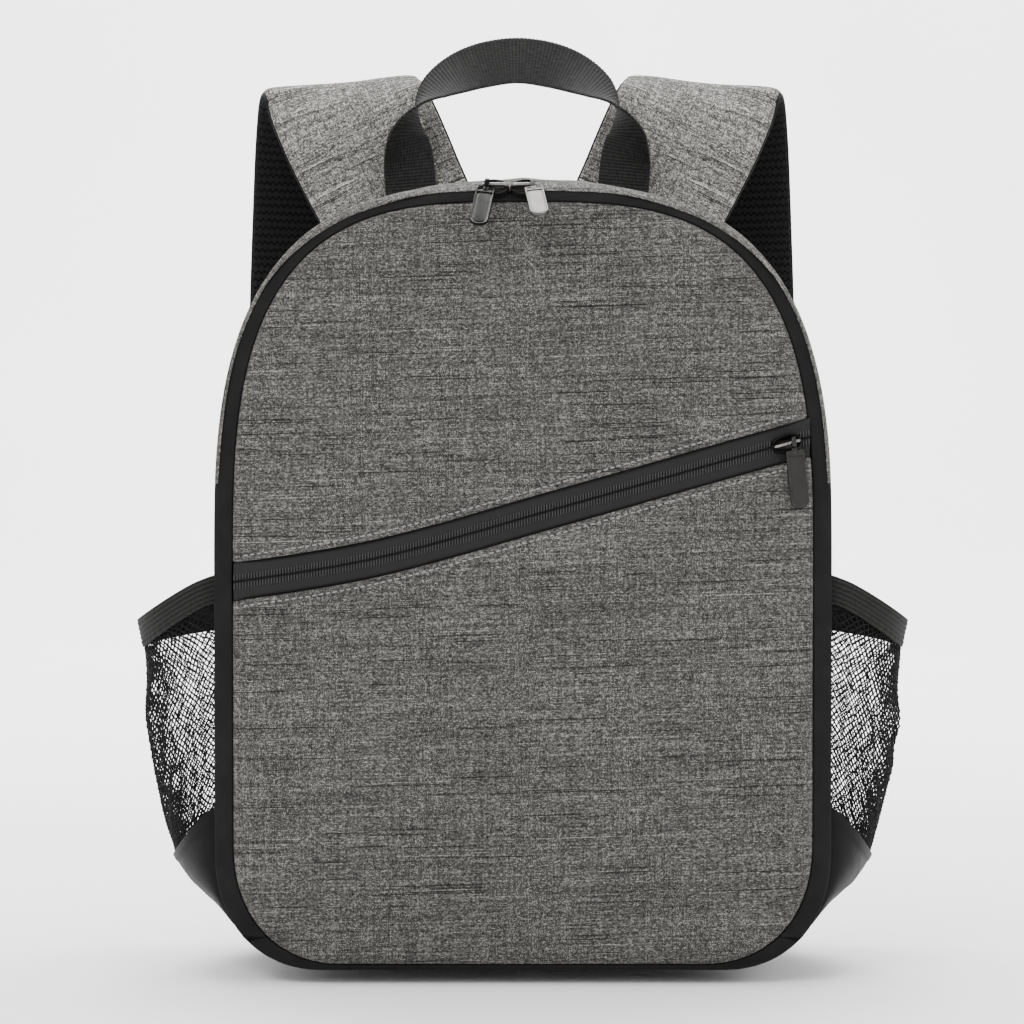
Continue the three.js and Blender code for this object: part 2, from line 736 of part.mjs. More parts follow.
// The pull hangs along -y from its ring, whose middle is the local origin
function pullGeometry() {
  const ring = new THREE.Shape();
  ring.absarc(0, 0, ringOuter, 0, 2 * Math.PI);
  const eye = new THREE.Path();
  eye.absarc(0, 0, ringInner, 0, 2 * Math.PI, true);
  ring.holes.push(eye);
  const loop = new THREE.ExtrudeGeometry(ring, { depth: ringWidth, bevelEnabled: false, curveSegments: 7 });
  loop.translate(0, 0, -ringWidth / 2);
  loop.rotateY(Math.PI / 2);

  const half = pullWidth / 2;
  const neck = ringWidth / 2;
  const shoulder = -ringOuter - ringWidth;
  const foot = -ringOuter - pullLength;
  const tongue = new THREE.Shape();
  tongue.moveTo(-neck, -(ringInner + ringOuter) / 2);
  tongue.lineTo(-neck, -ringOuter - neck);
  tongue.lineTo(-half, shoulder);
  tongue.lineTo(-half, foot + half);
  tongue.absarc(0, foot + half, half, Math.PI, 2 * Math.PI);
  tongue.lineTo(half, shoulder);
  tongue.lineTo(neck, -ringOuter - neck);
  tongue.lineTo(neck, -(ringInner + ringOuter) / 2);
  const tabShape = { depth: pullThickness, bevelEnabled: false, curveSegments: 8 };
  const tab = new THREE.ExtrudeGeometry(tongue, tabShape);
  tab.translate(0, 0, -pullThickness / 2);
  return geometryOf(solidOf(loop).add(solidOf(tab)));
}

// A slider and its pull: the pull's ring sits off the middle of the bridge, and the tab swings to the side
// and leans out from across the track
function zipPull(name, { at, track, outward, ringSide, lean, swing }) {
  const across = new THREE.Vector3().crossVectors(outward, track).normalize();
  const frame = new THREE.Matrix4().makeBasis(track, across, outward);
  frame.setPosition(at);
  add(`${name}_slider`, sliderGeometry(), gunmetal).applyMatrix4(frame);
  const shift = sliderLength / 2 - 2 * bridgeThickness - ringWidth / 2;
  const hinge = new THREE.Matrix4().makeTranslation(ringSide * shift, 0, axisHeight);
  hinge.multiply(new THREE.Matrix4().makeRotationZ(THREE.MathUtils.degToRad(swing)));
  hinge.multiply(new THREE.Matrix4().makeRotationX(THREE.MathUtils.degToRad(lean)));
  add(`${name}_pull`, pullGeometry(), gunmetal).applyMatrix4(frame.clone().multiply(hinge));
}

// Main zip: the band's slope at the top gives the direction that the sliders face
const bandUp = new THREE.Vector3(0, bandOuter - bandInner, bandTop).normalize();
const right = new THREE.Vector3(1, 0, 0);
const bandOutward = new THREE.Vector3().crossVectors(right, bandUp);
const bandAngle = THREE.MathUtils.radToDeg(Math.atan2(bandUp.y, bandUp.z));
const bandMiddle = new THREE.Vector3(0, bandOuter, bodyEdge.top).addScaledVector(bandUp, -sliderWidth / 4);
for (const [name, ringSide] of [["left", -1], ["right", 1]]) {
  zipPull(`main_${name}`, {
    at: bandMiddle.clone().setX(zipMeet + ringSide * (clearance + sliderLength / 2)),
    track: right,
    outward: bandOutward,
    ringSide,
    lean: bandAngle - mainPullLean[name],
    swing: mainPullSwing[name],
  });
}

// Pocket zip: the slider's track follows the slanted line
const zipAt = zipCurve.getPoint(zipPlace(pocketZipSlider));
const zipTrack = zipCurve.getTangent(zipPlace(pocketZipSlider));

function zipPlace(x) {
  let low = 0;
  let high = 1;
  while (high - low > 1e-4) {
    const middle = (low + high) / 2;
    if (zipCurve.getPoint(middle).x < x) {
      low = middle;
    } else {
      high = middle;
    }
  }
  return low;
}

zipPull("pocket", {
  at: zipAt.clone().setY(zipRows[0][0].y),
  track: zipTrack,
  outward: new THREE.Vector3(0, -1, 0),
  ringSide: 1,
  lean: pocketPullLean,
  swing: pocketPullSwing,
});

export default group;
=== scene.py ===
"""Camera backpack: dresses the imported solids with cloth, mesh, webbing, zips and hardware.

Lengths are in millimetres, apart from the studio's, and turn into metres where a mesh is made.
The front faces -Y, +X is right for someone who looks at the front, and the floor is z = 0.
"""
import math

import bmesh
import bpy
import numpy as np
from mathutils import Matrix, Vector, geometry, kdtree


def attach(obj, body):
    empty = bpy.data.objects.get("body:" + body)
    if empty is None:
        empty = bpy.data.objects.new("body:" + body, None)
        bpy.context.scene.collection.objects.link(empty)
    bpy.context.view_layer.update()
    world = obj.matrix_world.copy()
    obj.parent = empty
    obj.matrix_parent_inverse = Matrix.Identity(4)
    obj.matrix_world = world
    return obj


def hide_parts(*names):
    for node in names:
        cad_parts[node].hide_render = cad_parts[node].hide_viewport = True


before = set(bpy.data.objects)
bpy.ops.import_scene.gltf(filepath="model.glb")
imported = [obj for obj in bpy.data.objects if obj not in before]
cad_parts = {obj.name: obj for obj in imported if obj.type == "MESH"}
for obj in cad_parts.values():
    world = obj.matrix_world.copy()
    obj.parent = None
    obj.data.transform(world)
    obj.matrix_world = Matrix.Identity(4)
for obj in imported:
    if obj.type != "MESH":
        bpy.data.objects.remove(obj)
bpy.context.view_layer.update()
MM = 0.001

# Sizes of the solids that the pieces stand for
CLEARANCE = 0.3
BODY_FRONT, BODY_BACK = -65.0, 65.0
PANEL_EDGE = (132.5, 352.0, 3.5, 3.2)  # half width, top, bottom, roundness of the dome
BODY_EDGE = (141.5, 359.0, 0.0, 3.1)
SHOULDER = 180.0
CORNER_WIDTH, CORNER_HEIGHT, CORNER_ROUNDNESS = 50.0, 55.0, 2.2
FRONT_PAD, SOFT_EDGE, BACK_PAD = 7.0, 12.0, 10.0
BAND_INNER, BAND_OUTER, TAPE = -61.0, -57.0, 1.5
WALL_FRONT, WALL_BACK, SIDE_WALL = -55.2, 54.7, 5.0
BASE_SEAM = 16.0
ZIP_HALF = 8.75
ZIP_FACE = -62.4
WEBBING_WIDTH, WEBBING_THICKNESS = 25.0, 1.6
HANDLE_MIDDLE, HANDLE_HALF_SPAN, HANDLE_FOOT, HANDLE_TOP = -2.5, 51.0, 336.0, 427.0
HANDLE_DEPTH = BODY_BACK + CLEARANCE + WEBBING_THICKNESS / 2
STRAP_WIDTH, STRAP_FACE, STRAP_LINING, STRAP_TOP, STRAP_FOOT = 76.0, 5.0, 6.0, 414.0, 130.0
STRAP_REACH, STRAP_OUT = 51.0, 104.0
STRAP_DEPTH = HANDLE_DEPTH + WEBBING_THICKNESS / 2 + 3 * CLEARANCE + STRAP_FACE
BUCKLE_THICKNESS, BUCKLE_BAR, TAB_LENGTH, TAIL_LENGTH = 3.0, 3.5, 14.0, 45.0
ANCHOR_WIDTH, ANCHOR_HEIGHT, ANCHOR_FOOT = 42.0, 38.0, 22.0
POCKET_REACH, POCKET_FRONT, POCKET_BACK, POCKET_GAP = 40.0, -51.0, 50.0, 0.8
MOUTH = (181.5, 158.0, 163.0)  # front seam, middle, back seam
RIM = (75.0, 47.0, 54.0)
ELASTIC_HEIGHT, ELASTIC_THICKNESS = 13.0, 2.4
FLOOR_THICKNESS, POCKET_FOOT = 1.6, 20.0
COIL_PITCH = 1.32  # of the pocket zip's ribs
SLIDER_LENGTH, SLIDER_WIDTH, SLIDER_THICKNESS, BRIDGE = 14.0, 8.0, 2.4, 1.4
RING_INNER, RING_OUTER, RING_WIDTH = 1.6, 2.7, 2.2
PULL_WIDTH, PULL_THICKNESS, PULL_LENGTH = 8.6, 1.6, 28.0
ZIP_MEET, POCKET_SLIDER_INSET = -6.0, 12.5

# Inset from the panel's edge and depth, both as shares, from the rim to the flat middle
PANEL_RIM = [(0, 0.62), (0.1, 0.38), (0.42, 0.18), (1.1, 0.05), (3.4, 0.0), (12, 0.0)]
# How far the side wall stands out of the body's edge: by its place across the dome, in half widths
DOME_SWELL = [(0, 6), (0.24, 4.32), (0.39, 2.52), (0.53, 0.84), (0.7, 0), (0.95, 0), (1, 0.6)]
# The share of that swell from the front to the back of the wall
WALL_PROFILE = [(0, 0), (0.12, 0.72), (0.34, 1), (0.62, 1), (0.88, 0.66), (1, 0)]
# Middle line of the slanted zip: across in half widths of the panel, up in panel heights
ZIP_LINE = [(-1.1, 0.502), (-0.52, 0.538), (0.13, 0.605), (0.745, 0.671), (1.1, 0.708)]
# Half of the handle: across in half spans, up from foot to top, forward in webbing widths, turn in degrees
HANDLE_LINE = [
    (1, 0, 0, 0), (1, 0.16, 0, 0), (1.02, 0.32, 0.04, 0), (1.04, 0.47, 0.16, 14), (1.05, 0.61, 0.34, 50),
    (0.96, 0.745, 0.4, 92), (0.79, 0.85, 0.36, 126), (0.53, 0.935, 0.28, 148), (0.27, 0.982, 0.22, 157),
]
# Shoulder strap: out, back, up as shares, lean in degrees, width as a share
STRAP_LINE = [
    (0.385, 0, 0.75, 25, 0.9), (0.51, 0, 0.816, 25, 0.94), (0.63, 0.03, 0.879, 23, 0.97),
    (0.74, 0.1, 0.937, 17, 1), (0.82, 0.25, 0.978, 10, 1), (0.865, 0.5, 1, 5, 1),
    (0.896, 0.77, 0.985, 3, 1), (0.92, 0.95, 0.937, 2, 1), (0.937, 1.02, 0.856, 1, 1),
    (0.956, 1.04, 0.72, 0, 1), (0.98, 1, 0.575, 0, 0.97),
    (1, 0.86, 0.435, 0, 0.86), (1, 0.66, STRAP_FOOT / STRAP_TOP, 0, 0.62),
]
# How far the net and the pocket bottom stand out, from top to foot, as shares of the pocket's reach
NET_ROWS = [(0, 0.93), (0.2, 0.92), (0.42, 0.91), (0.62, 0.83), (0.82, 0.71), (1, 0.57)]
FLOOR_ROWS = [(0, 0.57), (0.22, 0.5), (0.44, 0.41), (0.64, 0.28), (0.82, 0.15), (1, 0.05)]
ELASTIC_FLARE = 0.07
ELASTIC_RIBS = 6
WEBBING_RIB, WEBBING_RIB_HEIGHT = 1.6, 0.1  # length of one rib, and its height as a share of the thickness
SEAM_TO_STITCH = 2.7  # from a panel's edge at the zip to its top stitches

# How finely the rings of the band, the wall and the panel are drawn
BAND_PLACES, WALL_PLACES, SEAM_PLACES, PANEL_PLACES, FINE = 420, 330, 300, 260, 900


# Curves and tables

class Curve:
    """A smooth line through points, the same centripetal kind that the solids follow."""

    def __init__(self, points):
        p = np.array(points, float)
        self.points = np.vstack([2 * p[0] - p[1], p, 2 * p[-1] - p[-2]])
        self.spans = len(p) - 1

    def at(self, place):
        place = np.clip(np.atleast_1d(np.asarray(place, float)), 0, 1) * self.spans
        index = np.minimum(place.astype(int), self.spans - 1)
        w = (place - index)[:, None]
        p0, p1, p2, p3 = (self.points[index + k] for k in range(4))

        def step(a, b):
            return np.maximum(np.linalg.norm(b - a, axis=1, keepdims=True) ** 0.5, 1e-4)

        d0, d1, d2 = step(p0, p1), step(p1, p2), step(p2, p3)
        t1 = ((p1 - p0) / d0 - (p2 - p0) / (d0 + d1) + (p2 - p1) / d1) * d1
        t2 = ((p2 - p1) / d1 - (p3 - p1) / (d1 + d2) + (p3 - p2) / d2) * d1
        return p1 + t1 * w + (-3 * p1 + 3 * p2 - 2 * t1 - t2) * w**2 + (2 * p1 - 2 * p2 + t1 + t2) * w**3

    def tangent(self, place):
        place = np.atleast_1d(np.asarray(place, float))
        ahead = self.at(np.minimum(place + 1e-4, 1)) - self.at(np.maximum(place - 1e-4, 0))
        return unit(ahead)


def unit(v):
    return v / np.maximum(np.linalg.norm(v, axis=-1, keepdims=True), 1e-12)


def arc_length(line):
    return np.r_[0, np.cumsum(np.linalg.norm(np.diff(line, axis=0), axis=1))]


def at_depth(flat, y):
    """[x, z] points at one depth, or at a depth each."""
    return np.column_stack([flat[:, 0], np.broadcast_to(y, len(flat)), flat[:, 1]])


def smooth_table(rows):
    """A function that reads a table of (input, value) pairs along a smooth line."""
    dense = Curve(rows).at(np.linspace(0, 1, 400))
    order = np.argsort(dense[:, 0])
    xs, ys = dense[order, 0], dense[order, 1]
    return lambda x: np.interp(x, xs, ys)


def hump(away, width):
    """1 at the middle, fading over about the width on both sides."""
    return np.exp(-(away / width) ** 2)


def smoothstep(x, low, high):
    t = np.clip((x - low) / (high - low), 0, 1)
    return t * t * (3 - 2 * t)


def resample(points, spacing, closed=False):
    """The same line with even steps of about that length."""
    p = np.array(points, float)
    if closed:
        p = np.vstack([p, p[:1]])
    along = arc_length(p)
    count = max(2, int(round(along[-1] / spacing)) + 1)
    at = np.linspace(0, along[-1], count)
    out = np.column_stack([np.interp(at, along, p[:, k]) for k in range(p.shape[1])])
    return out[:-1] if closed else out


# Waves from a fixed seed, so that each run gives the same folds
WAVES = np.random.default_rng(7).uniform(-1, 1, (24, 8))
RIPPLE_LAYERS = 5


def ripple(a, b, size, seed=0):
    """Smooth folds about size mm across, from -1 to 1, over the plane of a and b."""
    total = np.zeros(np.broadcast(a, b).shape)
    for k in range(RIPPLE_LAYERS):
        row = WAVES[(seed * RIPPLE_LAYERS + k) % len(WAVES)]
        angle, phase, stretch = row[0] * math.pi, row[1] * 9, 1 + 0.5 * row[2]
        along = (np.cos(angle) * a + np.sin(angle) * b) * 2 * math.pi / (size * stretch)
        total = total + np.sin(along + phase + 1.3 * np.sin(along * 0.37 + row[3] * 5))
    return total / RIPPLE_LAYERS


# Meshes

WELD = 2e-6  # metres


class Skin:
    """Collects grids of points with their own texture places, and welds them into one mesh."""

    def __init__(self):
        self.points, self.uvs, self.faces = [], [], []

    def grid(self, points, uv, ends=False):
        """Rows of quads. With ends, the first and the last row are rings that get a face each."""
        points, uv = np.asarray(points, float), np.asarray(uv, float)
        rows, cols = points.shape[:2]
        base = sum(len(p) for p in self.points)
        index = np.arange(rows * cols).reshape(rows, cols) + base
        quads = np.stack([index[:-1, :-1], index[:-1, 1:], index[1:, 1:], index[1:, :-1]], -1)
        self.points.append(points.reshape(-1, 3))
        self.uvs.append(uv.reshape(-1, 2))
        self.faces.extend(quads.reshape(-1, 4).tolist())
        if ends:
            self.faces.extend(index[[0, -1], :-1].tolist())

    def patch(self, points, faces, uv):
        base = sum(len(p) for p in self.points)
        self.points.append(np.asarray(points, float))
        self.uvs.append(np.asarray(uv, float))
        self.faces.extend([[base + i for i in face] for face in faces])

    def cap(self, points, uv):
        """One flat face with points of its own."""
        self.patch(points, [range(len(points))], uv)

    def build(self, name, closed=True):
        points, uv = np.vstack(self.points), np.vstack(self.uvs)
        mesh = bpy.data.meshes.new(name)
        mesh.from_pydata((points * MM).tolist(), [], self.faces)
        layer = mesh.uv_layers.new(name="cloth")
        corners = np.zeros(len(mesh.loops), np.int32)
        mesh.loops.foreach_get("vertex_index", corners)
        layer.data.foreach_set("uv", (uv[corners] * MM).astype(np.float32).ravel())
        bm = bmesh.new()
        bm.from_mesh(mesh)
        bmesh.ops.remove_doubles(bm, verts=bm.verts, dist=WELD)
        if closed:
            bmesh.ops.recalc_face_normals(bm, faces=bm.faces)
        for face in bm.faces:
            face.smooth = True
        bm.to_mesh(mesh)
        bm.free()
        piece = bpy.data.objects.new(name, mesh)
        bpy.context.scene.collection.objects.link(piece)
        return piece


def dress(piece, material, body="bag", stands_for=()):
    """Gives a piece its material and its body, and hides the solids that it stands for."""
    piece.data.materials.append(material)
    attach(piece, body)
    if stands_for:
        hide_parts(*stands_for)
    return piece


def creased(piece, degrees):
    """Keeps edges sharp that turn by more than the angle."""
    piece.data.set_sharp_from_angle(angle=math.radians(degrees))
    return piece


def rounded(piece, width):
    bevel = piece.modifiers.new("edge", "BEVEL")
    bevel.width, bevel.segments = width * MM, 2
    bevel.limit_method, bevel.angle_limit = "ANGLE", 0.6
    bpy.context.view_layer.update()
    evaluated = piece.evaluated_get(bpy.context.evaluated_depsgraph_get())
    mesh = bpy.data.meshes.new_from_object(evaluated)
    piece.modifiers.clear()
    piece.data = mesh
    return piece


# Simulated fullness

SIMULATED_FRAMES = 20
COARSE_VOXEL = 4.5
NEAR_POINTS = 6  # of the coarse copy, that each fine point follows


def fill_out(piece, node, is_sewn, cap):
    """Blows up a coarse copy of the node's solid as cloth that is held where it is sewn.

    The piece gets the same movement, up to cap mm.
    """
    scene = bpy.context.scene
    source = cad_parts[node]
    coarse = bpy.data.objects.new("coarse_pad", source.data.copy())
    coarse.matrix_world = source.matrix_world
    scene.collection.objects.link(coarse)
    remesh = coarse.modifiers.new("remesh", "REMESH")
    remesh.mode, remesh.voxel_size = "VOXEL", COARSE_VOXEL * MM

    def evaluated_points():
        bpy.context.view_layer.update()
        shape = coarse.evaluated_get(bpy.context.evaluated_depsgraph_get())
        points = np.zeros(len(shape.data.vertices) * 3, np.float32)
        shape.data.vertices.foreach_get("co", points)
        turn = np.array(coarse.matrix_world)
        return (points.reshape(-1, 3) @ turn[:3, :3].T + turn[:3, 3]) / MM, shape

    before, shape = evaluated_points()
    coarse.data = bpy.data.meshes.new_from_object(shape)
    coarse.modifiers.clear()
    sewn = coarse.vertex_groups.new(name="sewn")
    sewn.add([int(i) for i in np.where(is_sewn(before))[0]], 1.0, "REPLACE")
    cloth = coarse.modifiers.new("cloth", "CLOTH")
    settings = cloth.settings
    settings.quality, settings.mass = 5, 0.2
    settings.tension_stiffness, settings.compression_stiffness = 12, 12
    settings.shear_stiffness, settings.bending_stiffness = 5, 0.5
    settings.use_pressure, settings.uniform_pressure_force = True, 4
    settings.effector_weights.gravity = 0
    settings.vertex_group_mass = "sewn"
    cloth.point_cache.frame_start, cloth.point_cache.frame_end = 1, SIMULATED_FRAMES
    for step in range(1, SIMULATED_FRAMES + 1):
        scene.frame_set(step)
    after, _ = evaluated_points()
    scene.frame_set(1)
    bpy.data.objects.remove(coarse)

    travel = after - before
    length = np.linalg.norm(travel, axis=1, keepdims=True)
    travel = travel * np.minimum(1, cap / np.maximum(length, 1e-6))
    tree = kdtree.KDTree(len(before))
    for i, point in enumerate(before):
        tree.insert(point, i)
    tree.balance()
    for vertex in piece.data.vertices:
        near = tree.find_n(vertex.co / MM, NEAR_POINTS)
        weights = np.array([1 / (distance + 1.0) ** 2 for _, _, distance in near])
        shift = (travel[[i for _, i, _ in near]] * weights[:, None]).sum(0) / weights.sum()
        vertex.co += Vector(shift * MM)
    piece.data.update()


# The bag's outline

def half_outline(edge, place):
    """[x, z] at a place from 0 (middle of the base) over 1, 2, 3 (corner, side, dome) to 4 (top)."""
    half, top, bottom, roundness = edge
    flat = half - CORNER_WIDTH
    turn = np.clip(place - 1, 0, 1) * math.pi / 2
    rise = np.clip(place - 3, 0, 1) * math.pi / 2
    side = np.clip(place - 2, 0, 1)
    x = np.where(place < 1, place * flat, flat + CORNER_WIDTH * np.sin(turn) ** (2 / CORNER_ROUNDNESS))
    x = np.where(place > 3, half * np.maximum(np.cos(rise), 0) ** (2 / roundness), x)
    z = bottom + CORNER_HEIGHT * (1 - np.maximum(np.cos(turn), 0) ** (2 / CORNER_ROUNDNESS))
    z = np.where(place >= 2, bottom + CORNER_HEIGHT + (SHOULDER - bottom - CORNER_HEIGHT) * side, z)
    z = np.where(place > 3, SHOULDER + (top - SHOULDER) * np.sin(rise) ** (2 / roundness), z)
    return np.column_stack([x, z])


def even_places(count):
    dense = np.linspace(0, 4, 6001)
    line = half_outline(BODY_EDGE, dense)
    along = arc_length(line)
    return np.interp(np.linspace(0, along[-1], count + 1), along, dense)


def ring(edge, inset=0.0, places=None):
    """Closed ring of [x, z]: from the middle of the base up the right side and down the left side."""
    half, top, bottom, roundness = edge
    right = half_outline((half - inset, top - inset, bottom + inset, roundness), places)
    left = right[1:-1][::-1] * [-1, 1]
    return np.vstack([right, left])


def outward(line):
    """Unit normals that point out of a closed ring of [x, z]."""
    ahead = np.roll(line, -1, axis=0) - np.roll(line, 1, axis=0)
    return unit(np.column_stack([ahead[:, 1], -ahead[:, 0]]))


def closed_columns(rows):
    """Repeats the first column of rings at their end."""
    return np.concatenate([rows, rows[:, :1]], axis=1)


dome_swell = smooth_table(DOME_SWELL)
wall_profile = smooth_table(WALL_PROFILE)
panel_rim = smooth_table([(inset * SOFT_EDGE, depth) for inset, depth in PANEL_RIM])
FINE_PLACES = even_places(FINE)


def swell_at(line):
    share = np.where(line[:, 1] > SHOULDER, np.abs(line[:, 0]) / BODY_EDGE[0], 1.0)
    return dome_swell(share) * smoothstep(line[:, 1], MOUTH[1], MOUTH[0] + POCKET_REACH)


# Materials

class Paint:
    """A material's nodes, written as short expressions."""

    def __init__(self, name, roughness=0.8, metallic=0.0, specular=0.3, sheen=0.0):
        self.material = bpy.data.materials.new(name)
        self.material.use_nodes = True
        self.tree = self.material.node_tree
        self.shader = self.tree.nodes["Principled BSDF"]
        self.shader.inputs["Roughness"].default_value = roughness
        self.shader.inputs["Metallic"].default_value = metallic
        self.shader.inputs["Specular IOR Level"].default_value = specular
        self.shader.inputs["Sheen Weight"].default_value = sheen
        self.shader.inputs["Sheen Roughness"].default_value = 0.6
        self.coordinates = self.tree.nodes.new("ShaderNodeTexCoord")

    def put(self, value, socket):
        if isinstance(value, (int, float)):
            socket.default_value = value
        elif value is not None:
            self.tree.links.new(value, socket)

    def math(self, operation, a, b=None):
        node = self.tree.nodes.new("ShaderNodeMath")
        node.operation = operation
        for value, socket in zip((a, b), node.inputs):
            self.put(value, socket)
        return node.outputs[0]

    def add(self, a, b):
        return self.math("ADD", a, b)

    def times(self, a, b):
        return self.math("MULTIPLY", a, b)

    def remap(self, value, low, high, to_low=0.0, to_high=1.0):
        node = self.tree.nodes.new("ShaderNodeMapRange")
        for k, v in enumerate((value, low, high, to_low, to_high)):
            self.put(v, node.inputs[k])
        return node.outputs[0]

    def parts(self):
        node = self.tree.nodes.new("ShaderNodeSeparateXYZ")
        self.tree.links.new(self.coordinates.outputs["UV"], node.inputs[0])
        return node.outputs

    def vector(self, x, y):
        node = self.tree.nodes.new("ShaderNodeCombineXYZ")
        for value, socket in zip((x, y), node.inputs):
            self.put(value, socket)
        return node.outputs[0]

    def noise(self, vector, scale=1.0, detail=1.0, dimensions="2D", roughness=0.5):
        node = self.tree.nodes.new("ShaderNodeTexNoise")
        node.noise_dimensions = dimensions
        self.put(vector, node.inputs["Vector"])
        node.inputs["Scale"].default_value = scale
        node.inputs["Detail"].default_value = detail
        node.inputs["Roughness"].default_value = roughness
        return node.outputs[0]

    def solid_noise(self, scale, detail, roughness=0.5):
        return self.noise(self.coordinates.outputs["Object"], scale, detail, "3D", roughness)

    def waves(self, value, length):
        """A sine along a coordinate in metres, with waves of a length in mm."""
        return self.math("SINE", self.times(value, 2 * math.pi / (length * MM)))

    def cells(self, vector):
        node = self.tree.nodes.new("ShaderNodeTexVoronoi")
        node.voronoi_dimensions = "2D"
        self.put(vector, node.inputs["Vector"])
        node.inputs["Scale"].default_value = 1.0
        node.inputs["Randomness"].default_value = 0.0
        return node.outputs["Distance"]

    def speckle(self, vector):
        node = self.tree.nodes.new("ShaderNodeTexWhiteNoise")
        node.noise_dimensions = "2D"
        self.put(vector, node.inputs["Vector"])
        return node.outputs[0]

    def ramp(self, value, stops):
        node = self.tree.nodes.new("ShaderNodeValToRGB")
        while len(node.color_ramp.elements) < len(stops):
            node.color_ramp.elements.new(0.5)
        for element, (position, colour) in zip(node.color_ramp.elements, stops):
            element.position, element.color = position, (*colour, 1)
        self.put(value, node.inputs[0])
        return node.outputs[0]

    def colour(self, value, light, warm, *stops):
        """Base colour: greys at the stops (place, share of light) of a value."""
        ramp = self.ramp(value, [(place, grey(light * share, warm)) for place, share in stops])
        self.put(ramp, self.shader.inputs["Base Color"])

    def rough(self, socket):
        self.put(socket, self.shader.inputs["Roughness"])

    def bump(self, height, distance, strength=1.0):
        node = self.tree.nodes.new("ShaderNodeBump")
        node.inputs["Strength"].default_value = strength
        node.inputs["Distance"].default_value = distance * MM
        self.put(height, node.inputs["Height"])
        self.tree.links.new(node.outputs[0], self.shader.inputs["Normal"])
        return self.material


def grey(value, warm=0.0):
    """A linear grey with a slight warmth."""
    return (value * (1 + warm), value, value * (1 - 1.6 * warm))


ALONE = 0.187  # of a thread: so far apart in the noise, neighbouring threads have nothing in common


def melange(name, light, seed=0.0, tilt=0.03):
    """Plain weave of mottled yarns: each thread has its own shade, and long dark wefts rise by the tilt."""
    pitch = 0.46
    paint = Paint(name, roughness=0.95, specular=0.12, sheen=0.05)
    uv = paint.parts()
    u = paint.times(uv[0], 1 / (pitch * MM))
    v = paint.times(paint.add(uv[1], paint.times(uv[0], -tilt)), 1 / (pitch * MM))
    row, column = paint.math("FLOOR", v), paint.math("FLOOR", u)

    def drift(across, up, wide, high, shift):
        moved_on = paint.add(paint.times(across, 1 / wide), seed + shift)
        return paint.noise(paint.vector(moved_on, paint.times(up, 1 / high)), detail=1)

    def dash(across, up, shift):
        return paint.speckle(paint.vector(paint.math("FLOOR", paint.add(across, shift)), up))

    threads = paint.times(dash(column, row, seed), 0.6)
    wefts = paint.times(dash(paint.add(paint.times(u, 0.3), paint.times(row, 0.37)), row, seed + 17), 0.34)
    warp_dash = paint.math("FLOOR", paint.add(paint.times(v, 0.4), paint.times(column, 0.41)))
    warps = paint.times(dash(column, warp_dash, 5), 0.14)
    streaks = paint.times(drift(u, row, 110, ALONE, 40), 0.5)
    rises = paint.times(drift(paint.times(column, 1 / ALONE), v, 1.0, 60, 80), 0.34)
    cloud = paint.times(drift(u, v, 160, 50, 120), 0.08)
    dark = paint.remap(drift(u, row, 170, ALONE, 160), 0.3, 0.24, 0, -0.5)
    light_line = paint.remap(drift(u, row, 170, ALONE, 160), 0.74, 0.8, 0, 0.24)
    value = paint.add(paint.add(threads, wefts), paint.add(warps, streaks))
    value = paint.add(paint.add(value, rises), paint.add(cloud, paint.add(dark, light_line)))
    shade = paint.remap(value, 0.5, 1.56)
    paint.colour(shade, light, 0.035, (0.0, 0.1), (0.36, 0.5), (0.62, 1.2), (1.0, 3.4))
    wave_u = paint.math("SINE", paint.times(u, math.pi))
    wave_v = paint.math("SINE", paint.times(v, math.pi))
    weave = paint.add(paint.math("ABSOLUTE", wave_u), paint.math("ABSOLUTE", wave_v))
    return paint.bump(paint.add(weave, paint.times(shade, 1.2)), 0.12, 0.5)


def coil_tape(name, light, pitch):
    """The pocket zip: plain tape, with the ribs of the coil along its middle, painted shade in the gaps
    between them and along the middle line, and painted light on the ribs' tops.
    """
    paint = Paint(name, roughness=0.6, specular=0.2)
    uv = paint.parts()
    rib = paint.waves(uv[0], pitch)
    away = paint.math("ABSOLUTE", uv[1])
    # Painted shade in the gaps between the ribs and along the middle line, painted light on the tops of the
    # ribs
    coil = paint.times(paint.remap(away, 3.3 * MM, 3.0 * MM), paint.remap(away, 0.45 * MM, 0.8 * MM))
    middle = paint.remap(away, 0.25 * MM, 0.6 * MM)
    weave = paint.waves(uv[1], 0.6)
    shade = paint.add(paint.times(coil, paint.remap(rib, -0.4, 0.8, -0.4, 0.55)), paint.times(middle, 0.4))
    shade = paint.add(shade, paint.times(weave, 0.03))
    paint.colour(shade, light, 0, (0.0, 0.15), (0.4, 1), (0.85, 6))
    return paint.bump(weave, 0.04, 0.5)


def woven_tape(name, light):
    """Black tape of fine ribs."""
    pitch = 0.55
    paint = Paint(name, roughness=0.8, specular=0.12)
    uv = paint.parts()
    u, v = (paint.times(uv[k], 1 / (pitch * MM)) for k in (0, 1))
    ribs = paint.math("SINE", paint.times(paint.add(u, paint.times(v, 0.5)), 2 * math.pi))
    threads = paint.math("SINE", paint.times(v, 2 * math.pi))
    shade = paint.add(paint.times(ribs, 0.12), paint.solid_noise(90, 3))
    paint.colour(shade, light, 0.01, (0.25, 0.72), (0.55, 1), (0.85, 1.45))
    return paint.bump(paint.add(ribs, paint.times(threads, 0.5)), 0.05, 0.6)


